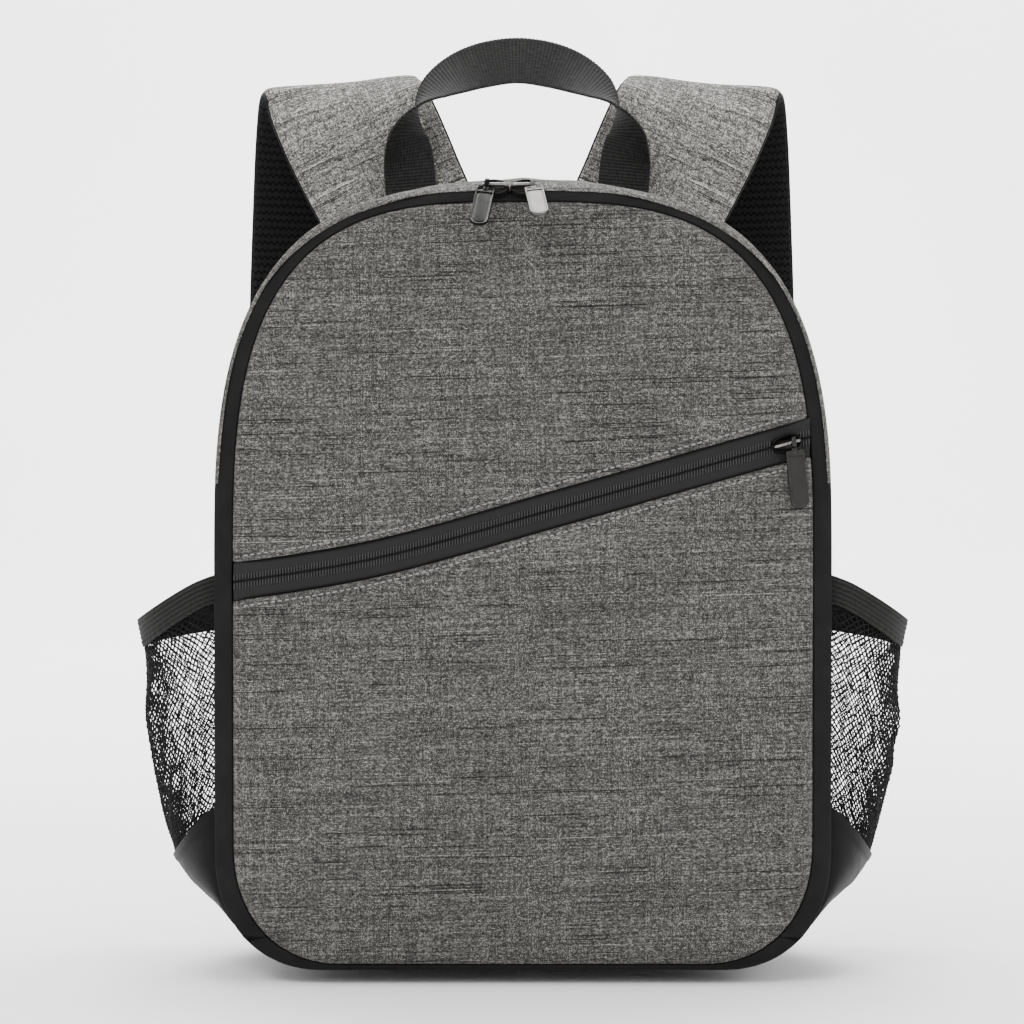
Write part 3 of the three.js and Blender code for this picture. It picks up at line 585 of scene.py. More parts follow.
def ribbed_webbing(name, light):
    """Webbing: fine warp lines along it over the ribs that the mesh has."""
    paint = Paint(name, roughness=0.7, specular=0.15)
    uv = paint.parts()
    warp, weft = paint.waves(uv[0], WEBBING_RIB / 2), paint.waves(uv[1], WEBBING_RIB)
    grain = paint.noise(paint.vector(paint.times(uv[0], 1500), paint.times(uv[1], 260)), detail=2)
    shade = paint.add(paint.add(paint.times(weft, 0.14), paint.times(warp, 0.1)), grain)
    paint.colour(shade, light, 0.01, (0.2, 0.45), (0.5, 1), (0.85, 1.9))
    return paint.bump(paint.add(warp, paint.times(weft, 0.8)), 0.07, 0.8)


def air_mesh(name, light):
    """Spacer mesh: rows of small holes in a soft knit, the holes darkened as painted shade for their depth."""
    pitch = 3.0
    paint = Paint(name, roughness=0.9, specular=0.08)
    uv = paint.parts()
    across, along = paint.times(uv[0], 1 / (pitch * MM)), paint.times(uv[1], 0.8 / (pitch * MM))
    shifted = paint.vector(paint.add(across, paint.times(paint.math("FLOOR", along), 0.5)), along)
    # The holes are only bumped and darkened: painted shade in place of the shaded inside of an opening
    hole = paint.remap(paint.cells(shifted), 0.2, 0.36)
    knit = paint.noise(paint.vector(paint.times(uv[0], 1400), paint.times(uv[1], 900)), detail=2)
    value = paint.times(hole, paint.remap(knit, 0.2, 0.8, 0.55, 1))
    paint.colour(value, light, 0, (0, 0.12), (0.5, 0.8), (1, 1.5))
    return paint.bump(paint.add(hole, paint.times(knit, 0.2)), 0.6, 0.8)


def coated_nylon(name, light, roughness):
    """Coated cloth with a faint square grain and soft creases."""
    paint = Paint(name, roughness=roughness, specular=0.12)
    uv = paint.parts()
    weave = paint.times(paint.waves(uv[0], 0.6), paint.waves(uv[1], 0.6))
    crease = paint.solid_noise(38, 4, 0.55)
    shade = paint.add(crease, paint.times(weave, 0.06))
    paint.colour(shade, light, 0, (0.25, 0.7), (0.5, 1), (0.8, 1.5))
    paint.rough(paint.remap(crease, 0.3, 0.7, roughness - 0.08, roughness + 0.14))
    return paint.bump(paint.add(paint.times(crease, 2.2), paint.times(weave, 0.06)), 0.5, 0.5)


def elastic_band(name, light):
    """Ribbed elastic: fine knit over the ribs that the mesh has."""
    paint = Paint(name, roughness=0.8, specular=0.12)
    uv = paint.parts()
    knit = paint.times(paint.waves(uv[0], 0.7), paint.waves(uv[1], 0.65))
    rib = paint.waves(uv[1], ELASTIC_HEIGHT / ELASTIC_RIBS)
    grain = paint.noise(paint.vector(paint.times(uv[0], 800), paint.times(uv[1], 2200)), detail=2)
    shade = paint.add(grain, paint.add(paint.times(rib, 0.16), paint.times(knit, 0.08)))
    paint.colour(shade, light, 0.02, (0.2, 0.5), (0.5, 1), (0.85, 1.8))
    return paint.bump(knit, 0.05, 0.7)


def moulded(name, light, roughness):
    """Moulded plastic with a fine grain and slight wear."""
    paint = Paint(name, roughness=roughness, specular=0.45)
    grain, wear = paint.solid_noise(1400, 2), paint.solid_noise(120, 3)
    paint.colour(wear, light, 0, (0.3, 0.85), (0.7, 1.2))
    paint.rough(paint.remap(wear, 0.3, 0.7, roughness - 0.06, roughness + 0.1))
    return paint.bump(grain, 0.03, 0.5)


def plated(name, light, roughness):
    """Gunmetal plating with faint brushing and handling marks."""
    paint = Paint(name, roughness=roughness, metallic=1.0, specular=0.5)
    brush, marks = paint.solid_noise(700, 2), paint.solid_noise(160, 4)
    paint.colour(marks, light, 0.025, (0.3, 0.85), (0.7, 1.15))
    paint.rough(paint.remap(marks, 0.3, 0.75, roughness - 0.06, roughness + 0.14))
    return paint.bump(brush, 0.01, 0.4)


def twine(name, light):
    """Sewing thread and the net's yarns: twisted, slightly shiny."""
    paint = Paint(name, roughness=0.7, specular=0.12)
    twist = paint.solid_noise(2600, 2)
    paint.colour(twist, light, 0, (0.3, 0.7), (0.7, 1.3))
    return paint.bump(twist, 0.05, 0.5)


CLOTH = melange("grey_melange", 0.064)
STRAP_CLOTH = melange("strap_melange", 0.15, seed=300, tilt=0.0)
GUSSET_CLOTH = melange("gusset_melange", 0.085, seed=600, tilt=0.0)
BAND_TAPE = woven_tape("zip_band_tape", 0.006)
ZIP_TAPE = coil_tape("pocket_zip_tape", 0.006, COIL_PITCH)
WEBBING = ribbed_webbing("black_webbing", 0.013)
MESH = air_mesh("black_air_mesh", 0.006)
NYLON = coated_nylon("black_nylon", 0.004, 0.55)
ELASTIC = elastic_band("black_elastic", 0.012)
NET_YARN = twine("net_yarn", 0.004)
PLASTIC = moulded("black_plastic", 0.006, 0.42)
METAL = plated("gunmetal_pull", 0.03, 0.42)
# Lighter copy of the pull's gunmetal for the right main pull: painted light, standing in for the highlight
# that pull catches
PAINTED_LIT_METAL = plated("gunmetal_painted_lit", 0.085, 0.36)
DARK_METAL = plated("gunmetal_slider", 0.008, 0.3)
BRIGHT_METAL = plated("bright_bar", 0.16, 0.25)
GREY_THREAD = twine("grey_thread", 0.2)
BLACK_THREAD = twine("black_thread", 0.006)


# Front panels

zip_curve = Curve([(a * PANEL_EDGE[0], 0, up * PANEL_EDGE[1]) for a, up in ZIP_LINE])
ZIP_DENSE = zip_curve.at(np.linspace(0, 1, 800))


def zip_height(x):
    return np.interp(x, ZIP_DENSE[:, 0], ZIP_DENSE[:, 2])


def zip_slope(x):
    return np.cos(np.arctan((zip_height(x + 1) - zip_height(x - 1)) / 2))


def distance_to(points, line, batch=4000):
    """Shortest distance of [x, z] points to a closed line of [x, z] points, worked out in batches."""
    run = np.roll(line, -1, axis=0) - line
    length = np.maximum((run**2).sum(1), 1e-12)
    best = []
    for start in range(0, len(points), batch):
        part = points[start:start + batch, None, :]
        t = np.clip(((part - line) * run).sum(2) / length, 0, 1)
        best.append(np.linalg.norm(part - (line + t[..., None] * run), axis=2).min(1))
    return np.concatenate(best)


PANEL_RING = ring(PANEL_EDGE, 0, FINE_PLACES)
PANEL_COARSE = ring(PANEL_EDGE, 0, even_places(PANEL_PLACES))


def region(low, high):
    """Closed line of [x, z] round the panel's cloth between two offsets from the zip.

    None leaves that side open.
    """
    x, z = PANEL_RING.T
    inside = np.ones(len(x), bool)
    if low is not None:
        inside &= z > zip_height(x) + low
    if high is not None:
        inside &= z < zip_height(x) + high

    def along_zip(start, end, offset):
        across = np.linspace(start[-1, 0], end[0, 0], 400)[1:-1]
        return np.column_stack([across, zip_height(across) + offset])

    if high is None:  # over the top in one run
        edge = PANEL_RING[inside]
        return np.vstack([edge, along_zip(edge, edge, low)])
    if low is None:  # under the base in one run
        half = len(PANEL_RING) // 2
        edge = np.roll(PANEL_RING, half, axis=0)[np.roll(inside, half)]
        return np.vstack([edge, along_zip(edge, edge, high)])
    right, left = PANEL_RING[inside & (x > 0)], PANEL_RING[inside & (x <= 0)]
    return np.vstack([right, along_zip(right, left, high), left, along_zip(left, right, low)])


def fill_region(border, rims, spacing):
    """Points and triangles over a region, with rows that follow its border at the given distances."""
    edge = resample(border, 1.8, closed=True)
    normal = outward(edge)
    rows = [edge]
    for rim in rims:
        row = edge - normal * rim
        far = distance_to(row, edge)
        rows.append(row[far > rim * 0.93])
    xs, zs = (np.arange(edge[:, k].min(), edge[:, k].max(), spacing) for k in (0, 1))
    grid = np.array([(x + (k % 2) * spacing / 2, z) for k, z in enumerate(zs) for x in xs])
    grid = grid[distance_to(grid, edge) > rims[-1] + spacing * 0.6]
    points = np.vstack([*rows, grid])
    count = len(edge)
    borders = [(i, (i + 1) % count) for i in range(count)]
    made = geometry.delaunay_2d_cdt([Vector(p) for p in points], borders, [], 1, 1e-5)
    return np.array([tuple(p) for p in made[0]]), [list(f) for f in made[2]], edge


ROLL_WIDTH, ROLL_DEPTH = 1.7, 1.5  # of the cloth's turned edge beside the zip
SEAM_AT, SEAM_WIDTH, SEAM_DEPTH = 2.9, 0.6, 0.38  # the groove that the top stitches pull in
PUCKER_AT, PUCKER_WIDTH, PUCKER_LENGTH, PUCKER_DEPTH = 4.2, 3.2, 7.3, 0.16
CROWN, WIDE_FOLD, WIDE_FOLD_DEPTH, RIM_FOLD, RIM_FOLD_DEPTH = 1.5, 46, 0.32, 13, 0.3


def front_depth(points, zip_offset):
    """Depth of the padded front: rounded at the rim, rolled at the zip's edge, slightly crowned."""
    d_out = distance_to(points, PANEL_COARSE)
    x, z = points[:, 0], points[:, 1]
    d_zip = np.abs(z - zip_height(x) - zip_offset) * zip_slope(x)
    y = BODY_FRONT + FRONT_PAD * panel_rim(d_out)
    roll = np.clip(1 - d_zip / ROLL_WIDTH, 0, 1)
    y = y + ROLL_DEPTH * (1 - np.sqrt(np.maximum(1 - roll**2, 0)))
    y = y + SEAM_DEPTH * hump(d_zip - SEAM_AT, SEAM_WIDTH)
    pucker = PUCKER_DEPTH * hump(d_zip - PUCKER_AT, PUCKER_WIDTH)
    y = y + pucker * np.sin(x * 2 * math.pi / PUCKER_LENGTH + 1.1 * np.sin(x * 0.11))
    y = y - CROWN * smoothstep(d_out, 4, 70) * smoothstep(d_zip, 0, 34)
    y = y + WIDE_FOLD_DEPTH * ripple(x * 0.8, z * 1.7, WIDE_FOLD, 1) * smoothstep(d_out, 3, 26)
    rim_fold = smoothstep(d_out, 0.5, 5) * (1 - smoothstep(d_out, 8, 26))
    return y + RIM_FOLD_DEPTH * rim_fold * ripple(x, z, RIM_FOLD, 3)


def front_piece(name, node, low, high, offset):
    rims = [0.4, 0.9, 1.5, 2.1, 2.6, 3.1, 3.7, 4.8, 6.4]
    points, faces, edge = fill_region(region(low, high), rims, 2.6)
    skin = Skin()
    skin.patch(at_depth(points, front_depth(points, offset)), faces, points)
    edge_y = front_depth(edge, offset)
    back = BODY_FRONT + FRONT_PAD
    rows = closed_columns(np.array([at_depth(edge, edge_y + (back - edge_y) * t) for t in (0, 0.5, 1)]))
    skin.grid(rows, np.stack([rows[..., 0], rows[..., 2] + rows[..., 1]], -1))
    skin.cap(at_depth(edge, back), edge)
    return dress(skin.build(name), CLOTH, stands_for=[node])


upper = front_piece("front_upper_cloth", "front_upper", ZIP_HALF, None, ZIP_HALF)
lower = front_piece("front_pocket_cloth", "front_pocket", None, -ZIP_HALF, -ZIP_HALF)


def front_is_sewn(offset):
    """The front pad is held at its back, round its rim and along the zip."""
    def is_sewn(points):
        flat = points[:, [0, 2]]
        near_zip = np.abs(flat[:, 1] - zip_height(flat[:, 0]) - offset) < 7
        return (points[:, 1] > BODY_FRONT + 4) | (distance_to(flat, PANEL_COARSE) < 9) | near_zip
    return is_sewn


for pad, node, offset in ((upper, "front_upper", ZIP_HALF), (lower, "front_pocket", -ZIP_HALF)):
    fill_out(pad, node, front_is_sewn(offset), 2.5)


def pocket_zip():
    """The slanted zip: tape with the ribs of the coil along its closed middle."""
    border = region(-ZIP_HALF + CLEARANCE, ZIP_HALF - CLEARANCE)
    low, high = border[:, 0].min() + 0.4, border[:, 0].max() - 0.4
    step = 0.26
    xs = np.arange(low, high, step)
    slope = zip_slope(xs)
    beside = np.array([0.2, 0.45, 0.8, 1.2, 1.7, 2.2, 2.6, 2.9, 3.3, 4.2, 6.5, 8.4])
    across = np.r_[-beside[::-1], 0, beside]
    along = np.r_[0, np.cumsum(step / slope[1:])]
    rib = 0.5 + 0.5 * np.sin(along * 2 * math.pi / COIL_PITCH)
    rows = []
    for v in across:
        width = np.exp(-((abs(v) - 1.9) / 1.3) ** 4)
        cleft, seam = 0.6 * hump(v, 0.5), 0.12 * hump(abs(v) - 5.2, 0.5)
        height = width * (0.1 + 0.8 * rib**1.2) - cleft + seam
        rows.append(np.column_stack([xs, ZIP_FACE - height, zip_height(xs) + v / slope]))
    rows = np.array(rows)
    under = rows.copy()
    under[:, :, 1] = ZIP_FACE + 2.4
    uv = np.stack(np.broadcast_arrays(along, across[:, None]), -1)
    skin = Skin()
    skin.grid(rows, uv)
    skin.grid(under[[0, -1]], uv[[0, -1]])
    for k in (0, -1):
        skin.grid(np.stack([rows[k], under[k]]), np.stack([uv[k], uv[k]]))
        skin.grid(np.stack([rows[:, k], under[:, k]]), np.stack([uv[:, k], uv[:, k]]))
    return skin.build("pocket_zip_tape")


dress(pocket_zip(), ZIP_TAPE, stands_for=["pocket_zip"])


# Stitches

def stitches(name, seams, material):
    """Rows of short stitches along seams of (points, normals), each stitch a slim closed grain."""
    length, gap, radius, rise = 2.3, 0.9, 0.38, 0.2
    skin = Skin()
    for line, normal in seams:
        run = arc_length(line)
        start = gap
        while start + length < run[-1]:
            at = start + length * np.array([0, 0.12, 0.5, 0.88, 1])
            centre = np.column_stack([np.interp(at, run, line[:, k]) for k in range(3)])
            up = unit(np.column_stack([np.interp(at, run, normal[:, k]) for k in range(3)]))
            side = unit(np.cross(unit(centre[-1:] - centre[:1]), up))
            size = radius * np.array([0.35, 0.85, 1, 0.85, 0.35])
            lift = rise * np.array([-1.6, 0.2, 1, 0.2, -1.6])
            angles = np.linspace(0, 2 * math.pi, 7)
            rings = np.array([
                c + u * (l + r * np.sin(angles)[:, None]) + s * (r * np.cos(angles)[:, None])
                for c, u, s, r, l in zip(centre, up, side, size, lift)])
            skin.grid(rings, np.stack(np.broadcast_arrays(at[:, None], angles), -1), ends=True)
            start += length + gap
    dress(skin.build(name), material)


def zip_stitch_line(offset):
    """Points and normals of the top stitches beside the zip, above it or below it."""
    half = region(offset if offset > 0 else None, offset if offset < 0 else None)
    xs = np.linspace(half[:, 0].min() + 4, half[:, 0].max() - 4, 500)
    z = zip_height(xs) + offset + math.copysign(SEAM_TO_STITCH, offset) / zip_slope(xs)
    flat = np.column_stack([xs, z])
    flat = flat[distance_to(flat, PANEL_COARSE) > 2.2]
    return at_depth(flat, front_depth(flat, offset)), np.tile([0.0, -1.0, 0.0], (len(flat), 1))


zip_seams = [zip_stitch_line(offset) for offset in (ZIP_HALF, -ZIP_HALF)]
stitches("front_topstitch", zip_seams, GREY_THREAD)


# Zip band, side wall, base and back

def swept_part(name, rows, uv, above):
    """Closed skin from a loop of rings, cut at the base's seam: columns past the cut slide onto it."""
    rows, uv = np.array(rows), np.array(uv)
    height = BASE_SEAM if above else BASE_SEAM - CLEARANCE
    count = rows.shape[1]
    keep = rows[0, :, 2] >= height if above else rows[0, :, 2] < height
    start = np.where(keep & ~np.roll(keep, 1))[0][0]
    order = (np.arange(keep.sum() + 2) + start - 1) % count
    part, part_uv = rows[:, order].copy(), uv[:, order].copy()
    for k, neighbour in ((0, 1), (-1, -2)):
        a, b = part[:, k].copy(), part[:, neighbour]
        rise = a[:, 2:] - b[:, 2:]
        share = (height - b[:, 2:]) / np.where(np.abs(rise) < 1e-6, 1e-6, rise)
        part[:, k] = b + (a - b) * np.clip(share, -3, 3)
    skin = Skin()
    skin.grid(np.concatenate([part, part[:1]]), np.concatenate([part_uv, part_uv[-1:] + 1]))
    for k in (0, -1):
        skin.cap(part[:, k], part_uv[:, k])
    return skin.build(name)


def ring_length(line):
    step = np.linalg.norm(np.roll(line, -1, axis=0) - line, axis=1)
    return np.r_[0, np.cumsum(step)[:-1]]


BAND_CLOTH = 9  # width of the band in its texture


def zip_band(name, above):
    """The band round the panel: plain tape, slightly full between its two seams."""
    places = even_places(BAND_PLACES)
    inner, outer = ring(PANEL_EDGE, -CLEARANCE, places), ring(BODY_EDGE, 0, places)
    along = ring_length(outer)
    face = [
        (0.0, 0.35), (0.03, 0.0), (0.09, -0.3), (0.2, -0.5), (0.35, -0.62), (0.5, -0.66), (0.65, -0.62),
        (0.8, -0.48), (0.9, -0.3), (0.96, -0.05), (1.0, 0.35),
    ]
    profile = [(share, rise, share * BAND_CLOTH) for share, rise in face]
    profile += [(share, TAPE, BAND_CLOTH + 3 * (1.2 - share)) for share in (1.0, 0.0)]
    rows, uvs = [], []
    for share, rise, texture in profile:
        y = BAND_INNER + (BAND_OUTER - BAND_INNER) * share + rise
        rows.append(at_depth(inner + (outer - inner) * share, y))
        uvs.append(np.column_stack([along, np.full(len(along), texture)]))
    return swept_part(name, rows, uvs, above)


dress(zip_band("main_zip_band", True), BAND_TAPE, stands_for=["main_zip"])
dress(zip_band("front_binding_tape", False), BAND_TAPE, stands_for=["front_binding"])


def wall_rows(inset, shares, fold, seed):
    """Rings of the wall at shares of its depth, with soft folds of a depth in mm."""
    places = even_places(WALL_PLACES)
    base, edge = ring(BODY_EDGE, inset, places), ring(BODY_EDGE, 0, places)
    normal, swell, along = outward(base), swell_at(edge), ring_length(edge)
    rows, uvs = [], []
    for share in shares:
        y = WALL_FRONT + (WALL_BACK - WALL_FRONT) * share
        loose = max(math.sin(math.pi * share), 0)
        crumple = fold * loose * ripple(along, y, 52, seed) * smoothstep(base[:, 1], 18, 60)
        rows.append(at_depth(base + normal * (swell * wall_profile(share) + crumple)[:, None], y))
        uvs.append(np.column_stack([along, np.full(len(along), y)]))
    return rows, uvs


# The wall's front edge rolls over the band: out from the band's edge and ahead of the wall, first the rows
# behind the roll, then those round its tip and over its outer face
CURL_BEHIND = [(0.3, 0), (0.3, 2.7), (-2.9, 4.1)]
CURL_FACE = [(-3.5, 4.7), (-3.1, 5.4), (-1.4, 5.2), (0.6, 3.7), (1.0, 1.9)]


def edge_curl(line):
    """How far the front edge rolls over, from 0 to 1: a little along the dome, fully at the shoulders."""
    x, z = np.abs(line[:, 0]), line[:, 1]
    shoulder = smoothstep(x, 40, 72) * (1 - smoothstep(x, 92, 124)) * smoothstep(z, 250, 310)
    return np.clip(0.42 * smoothstep(z, 196, 236) + 0.5 * shoulder, 0, 1)


def side_wall(name, above):
    """The padded wall, or below the seam the base: outer rows, rolled front edge and inner rows."""
    shares = np.r_[0, 0.006, 0.015, 0.03, np.linspace(0.05, 0.95, 34), 0.97, 0.985, 0.994, 1]
    last = len(shares) - 1
    edge_roll = {0: 0.55, 1: 0.2, 2: 0.05, last - 2: 0.05, last - 1: 0.2, last: 0.6}
    outer, outer_uv = wall_rows(0, shares, 0.8, 2)
    edge = outer[0][:, [0, 2]]
    normal = outward(edge)
    curl = edge_curl(edge)[:, None]
    stand = np.clip(1.9 * curl[:, 0], 0, 1)
    for k, back in edge_roll.items():
        outer[k] = at_depth(outer[k][:, [0, 2]] - normal * back, outer[k][:, 1])
    for k, (out_by, ahead) in enumerate(CURL_FACE):
        flap = edge + normal * out_by * curl - normal * edge_roll.get(k, 0) * (1 - curl)
        outer[k] = at_depth(flap, outer[k][:, 1] - ahead * stand)
    outer = [at_depth(edge + normal * out_by * curl, WALL_FRONT - ahead * stand)
             for out_by, ahead in CURL_BEHIND] + outer
    outer_uv = [outer_uv[0]] * len(CURL_BEHIND) + outer_uv

    # The cloth's texture runs on round the roll by the way along it, back from the first flat row
    flat_row = len(CURL_BEHIND + CURL_FACE)
    steps = np.linalg.norm(np.diff(np.array(outer[:flat_row + 1]), axis=0), axis=2)
    for k, way in enumerate(np.cumsum(steps[::-1], axis=0)[::-1]):
        outer_uv[k] = np.column_stack([outer_uv[k][:, 0], outer_uv[flat_row][:, 1] - way])
    inner, inner_uv = wall_rows(SIDE_WALL, [1, 0.88, 0.62, 0.34, 0.12, 0], 0, 0)
    return swept_part(name, outer + inner, outer_uv + inner_uv, above)


wall = dress(side_wall("side_wall_cloth", True), GUSSET_CLOTH, stands_for=["side_wall"])
base = dress(side_wall("base_cloth", False), NYLON, stands_for=["base_panel"])


def back_panel():
    """The wearer's side: air mesh over two long pads and a band across the small of the back."""
    border = ring(BODY_EDGE, 0.6, FINE_PLACES)
    points, faces, edge = fill_region(border, [0.5, 1.2, 2.2, 3.5, 5, 7], 3.4)
    d = distance_to(points, edge)
    x, z = points[:, 0], points[:, 1]
    round_rim = 1 - np.sqrt(np.maximum(1 - np.clip(1 - d / 8, 0, 1) ** 2, 0))
    rim_drop, channel = 6.0, 4.2
    y = BODY_BACK - rim_drop * round_rim
    spine = hump(x, 11) * smoothstep(z, 92, 112) * (1 - smoothstep(z, 312, 330))
    waist = hump(z - 96, 6) * (1 - smoothstep(np.abs(x), 112, 124))
    chest = hump(z - 322, 6) * (1 - smoothstep(np.abs(x), 92, 106))
    flank = hump(np.abs(x) - 118, 4) * smoothstep(z, 92, 104) * (1 - smoothstep(z, 250, 290))
    y = y - channel * np.clip(spine + waist + chest + flank, 0, 1)
    y = y + 0.3 * ripple(x, z, 40, 4)
    skin = Skin()
    skin.patch(at_depth(points, y), faces, points)
    edge_y = BODY_BACK - rim_drop + 0.3 * ripple(edge[:, 0], edge[:, 1], 40, 4)
    rows = [at_depth(edge, edge_y + (BODY_BACK - BACK_PAD - edge_y) * t) for t in (0, 1)]
    rows = closed_columns(np.array(rows))
    skin.grid(rows, rows[:, :, [0, 2]])
    skin.cap(rows[1, :-1], edge)
    return skin.build("back_panel_pad")


back = dress(back_panel(), MESH, stands_for=["back_panel"])


# Strips

def webbing(name, centre, across, up, waist, node):
    """Webbing along a line of points: ribbed, with rounded selvedges, its width waving by the waist."""
    half = WEBBING_THICKNESS / 2
    sides = [-1, -0.985, -0.93, -0.86, -0.5, 0, 0.5, 0.86, 0.93, 0.985, 1]
    rise = [0.0, 0.7, 1.06, 0.94, 0.96, 0.96, 0.96, 0.94, 1.06, 0.7, 0.0]
    top = [(s, half * r) for s, r in zip(sides, rise)]
    bottom = [(s, -half * r) for s, r in zip(sides, rise)][::-1][1:-1]
    section = np.array(top + bottom + top[:1])
    texture = [s * WEBBING_WIDTH / 2 for s, _ in top]
    texture += [WEBBING_WIDTH - s * WEBBING_WIDTH / 2 for s, _ in bottom]
    along = arc_length(centre)
    wave = np.sin(along * 2 * math.pi / WEBBING_RIB)[:, None, None]
    beside = section[None, :, 0:1] * ((WEBBING_WIDTH / 2) * (1 + waist * wave))
    level = section[None, :, 1:2] * (1 + WEBBING_RIB_HEIGHT * wave)
    rows = centre[:, None] + across[:, None] * beside + up[:, None] * level
    uv = np.stack(np.broadcast_arrays(np.array(texture + [texture[-1] + 1]), along[:, None]), -1)
    skin = Skin()
    skin.grid(rows, uv)
    for k in (0, -1):
        skin.cap(rows[k, :-1], uv[k, :-1])
    return dress(skin.build(name), WEBBING, stands_for=[node])


def handle_stations(count):
    """Middle line, way across and upward direction of the handle, which turns over between its feet."""
    rows = [(-a, up, f, t) for a, up, f, t in HANDLE_LINE]
    rows.append((0, 1, HANDLE_LINE[-1][2], HANDLE_LINE[-1][3]))
    rows += HANDLE_LINE[::-1]
    line = Curve([(HANDLE_MIDDLE + a * HANDLE_HALF_SPAN, HANDLE_DEPTH - f * WEBBING_WIDTH,
                   HANDLE_FOOT + (HANDLE_TOP - HANDLE_FOOT) * up) for a, up, f, _ in rows])
    turns = Curve([(i, row[3], 0) for i, row in enumerate(rows)])
    place = np.linspace(0, 1, count)
    travel = line.tangent(place)
    turn = np.radians(np.maximum(0, turns.at(place)[:, 1]))[:, None]
    within = unit(np.column_stack([travel[:, 2], np.zeros(count), -travel[:, 0]]))
    across = -np.cos(turn) * within + np.array([0, -1, 0]) * np.sin(turn)
    across = unit(across - travel * (across * travel).sum(1, keepdims=True))
    return line.at(place), across, unit(np.cross(travel, across))


webbing("handle_webbing", *handle_stations(760), 0.012, "handle")


def strap_stations(count):
    """Middle line, way across, outward direction, half width and way along of the right strap."""
    line = Curve([(out * STRAP_OUT, STRAP_DEPTH + back * STRAP_REACH, up * STRAP_TOP)
                  for out, back, up, _, _ in STRAP_LINE])
    shape = Curve([(i, row[3], row[4]) for i, row in enumerate(STRAP_LINE)])
    place = np.linspace(0, 1, count)
    travel = line.tangent(place)
    values = shape.at(place)
    lean, wide = np.radians(values[:, 1]), values[:, 2]
    across = np.column_stack([np.cos(lean), np.zeros(count), -np.sin(lean)])
    across = unit(across - travel * (across * travel).sum(1, keepdims=True))
    up = unit(np.cross(across, travel))
    centre = line.at(place)
    return centre, across, up, wide * STRAP_WIDTH / 2, arc_length(centre)


def padded_section(count, roundness):
    """Closed outline of half a pad: soft top one high, flat seam side at level 0."""
    turn = np.linspace(0, math.pi, count)
    side = -np.sign(np.cos(turn)) * np.abs(np.cos(turn)) ** (2 / roundness)
    top = np.column_stack([side, np.sin(turn) ** (2 / roundness)])
    return np.vstack([top, [(s, 0) for s in (0.7, 0.0, -0.7)], top[:1]])


STRAP_STATIONS = 150


def strap_piece(name, node, side, sign, thickness, soft, material):
    """One half of a padded strap. It thins towards its seams and has long shallow folds."""
    centre, across, up, half, along = strap_stations(STRAP_STATIONS)
    centre = centre + up * (sign * CLEARANCE)
    s, level = padded_section(34, soft).T
    beside = s * half[:, None]
    fold = 0.07 * ripple(along[:, None] * 0.7, beside * 1.1 + sign * 31, 44, 5 + side) * (level > 0.05)
    top_end, foot_end = 1 - smoothstep(along, 0, 14), smoothstep(along, along[-1] - 16, along[-1])
    ends = (1 - 0.35 * top_end - 0.45 * foot_end)[:, None]
    height = sign * thickness * level * ends * (1 + fold)
    rows = centre[:, None] + across[:, None] * beside[..., None] + up[:, None] * height[..., None]
    rows = rows * [side, 1, 1]
    uv = np.stack(np.broadcast_arrays(beside + 0.1 * (level < 0.01), along[:, None]), -1)
    skin = Skin()
    skin.grid(rows, uv)
    for k in (0, -1):
        skin.cap(rows[k, :-1], uv[k, :-1])
    piece = dress(skin.build(name), material, stands_for=[node])
    middle, lift = centre * [side, 1, 1], up * [side, 1, 1]

    def is_sewn(points):
        nearest = np.linalg.norm(points[:, None] - middle[None], axis=2).argmin(1)
        away = points - middle[nearest]
        beside = np.linalg.norm(away, axis=1) > half[nearest] - 3
        return ((away * lift[nearest]).sum(1) * sign < 1.5) | beside

    if sign > 0:
        fill_out(piece, node, is_sewn, 2.0)
    return piece


def tube(name, lines, radius, material):
    """Closed round cords along lines of points."""
    skin = Skin()
    angles = np.linspace(0, 2 * math.pi, 9)
    for line in lines:
        travel = unit(np.gradient(line, axis=0))
        helper = np.array([0.31, 0.87, 0.38])
        side = unit(np.cross(travel, helper))
        up = np.cross(travel, side)
        cos, sin = np.cos(angles)[None, :, None], np.sin(angles)[None, :, None]
        rings = line[:, None] + radius * (side[:, None] * cos + up[:, None] * sin)
        uv = np.stack(np.broadcast_arrays(angles * radius, arc_length(line)[:, None]), -1)
        skin.grid(rings, uv, ends=True)
    return dress(skin.build(name), material)


def side_webbing(name, path, x, node):
    """Webbing through [y, z] points of the side view at one x."""
    line = resample(path, 0.5)
    centre = np.column_stack([np.full(len(line), x), line])
    across = np.tile([1.0, 0, 0], (len(line), 1))
    up = unit(np.cross(across, unit(np.gradient(centre, axis=0))))
    webbing(name, centre, across, up, 0.01, node)


def bend(centre, radius, start, end):
    turn = np.radians(np.linspace(start, end, 15))
    return [(centre + radius * math.cos(t), radius * math.sin(t)) for t in turn]


def copied(node, name, width, material):
    """A node's own solid with softened edges and a better finish."""
    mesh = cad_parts[node].data.copy()
    mesh.name = name
    mesh.materials.clear()
    piece = bpy.data.objects.new(name, mesh)
    bpy.context.scene.collection.objects.link(piece)
    bm = bmesh.new()
    bm.from_mesh(mesh)
    bmesh.ops.remove_doubles(bm, verts=bm.verts, dist=WELD / 2)
    bmesh.ops.dissolve_limit(bm, angle_limit=0.02, verts=bm.verts, edges=bm.edges)
    bm.to_mesh(mesh)
    bm.free()
    rounded(piece, width)
    creased(piece, 35)
    return dress(piece, material, stands_for=[node])


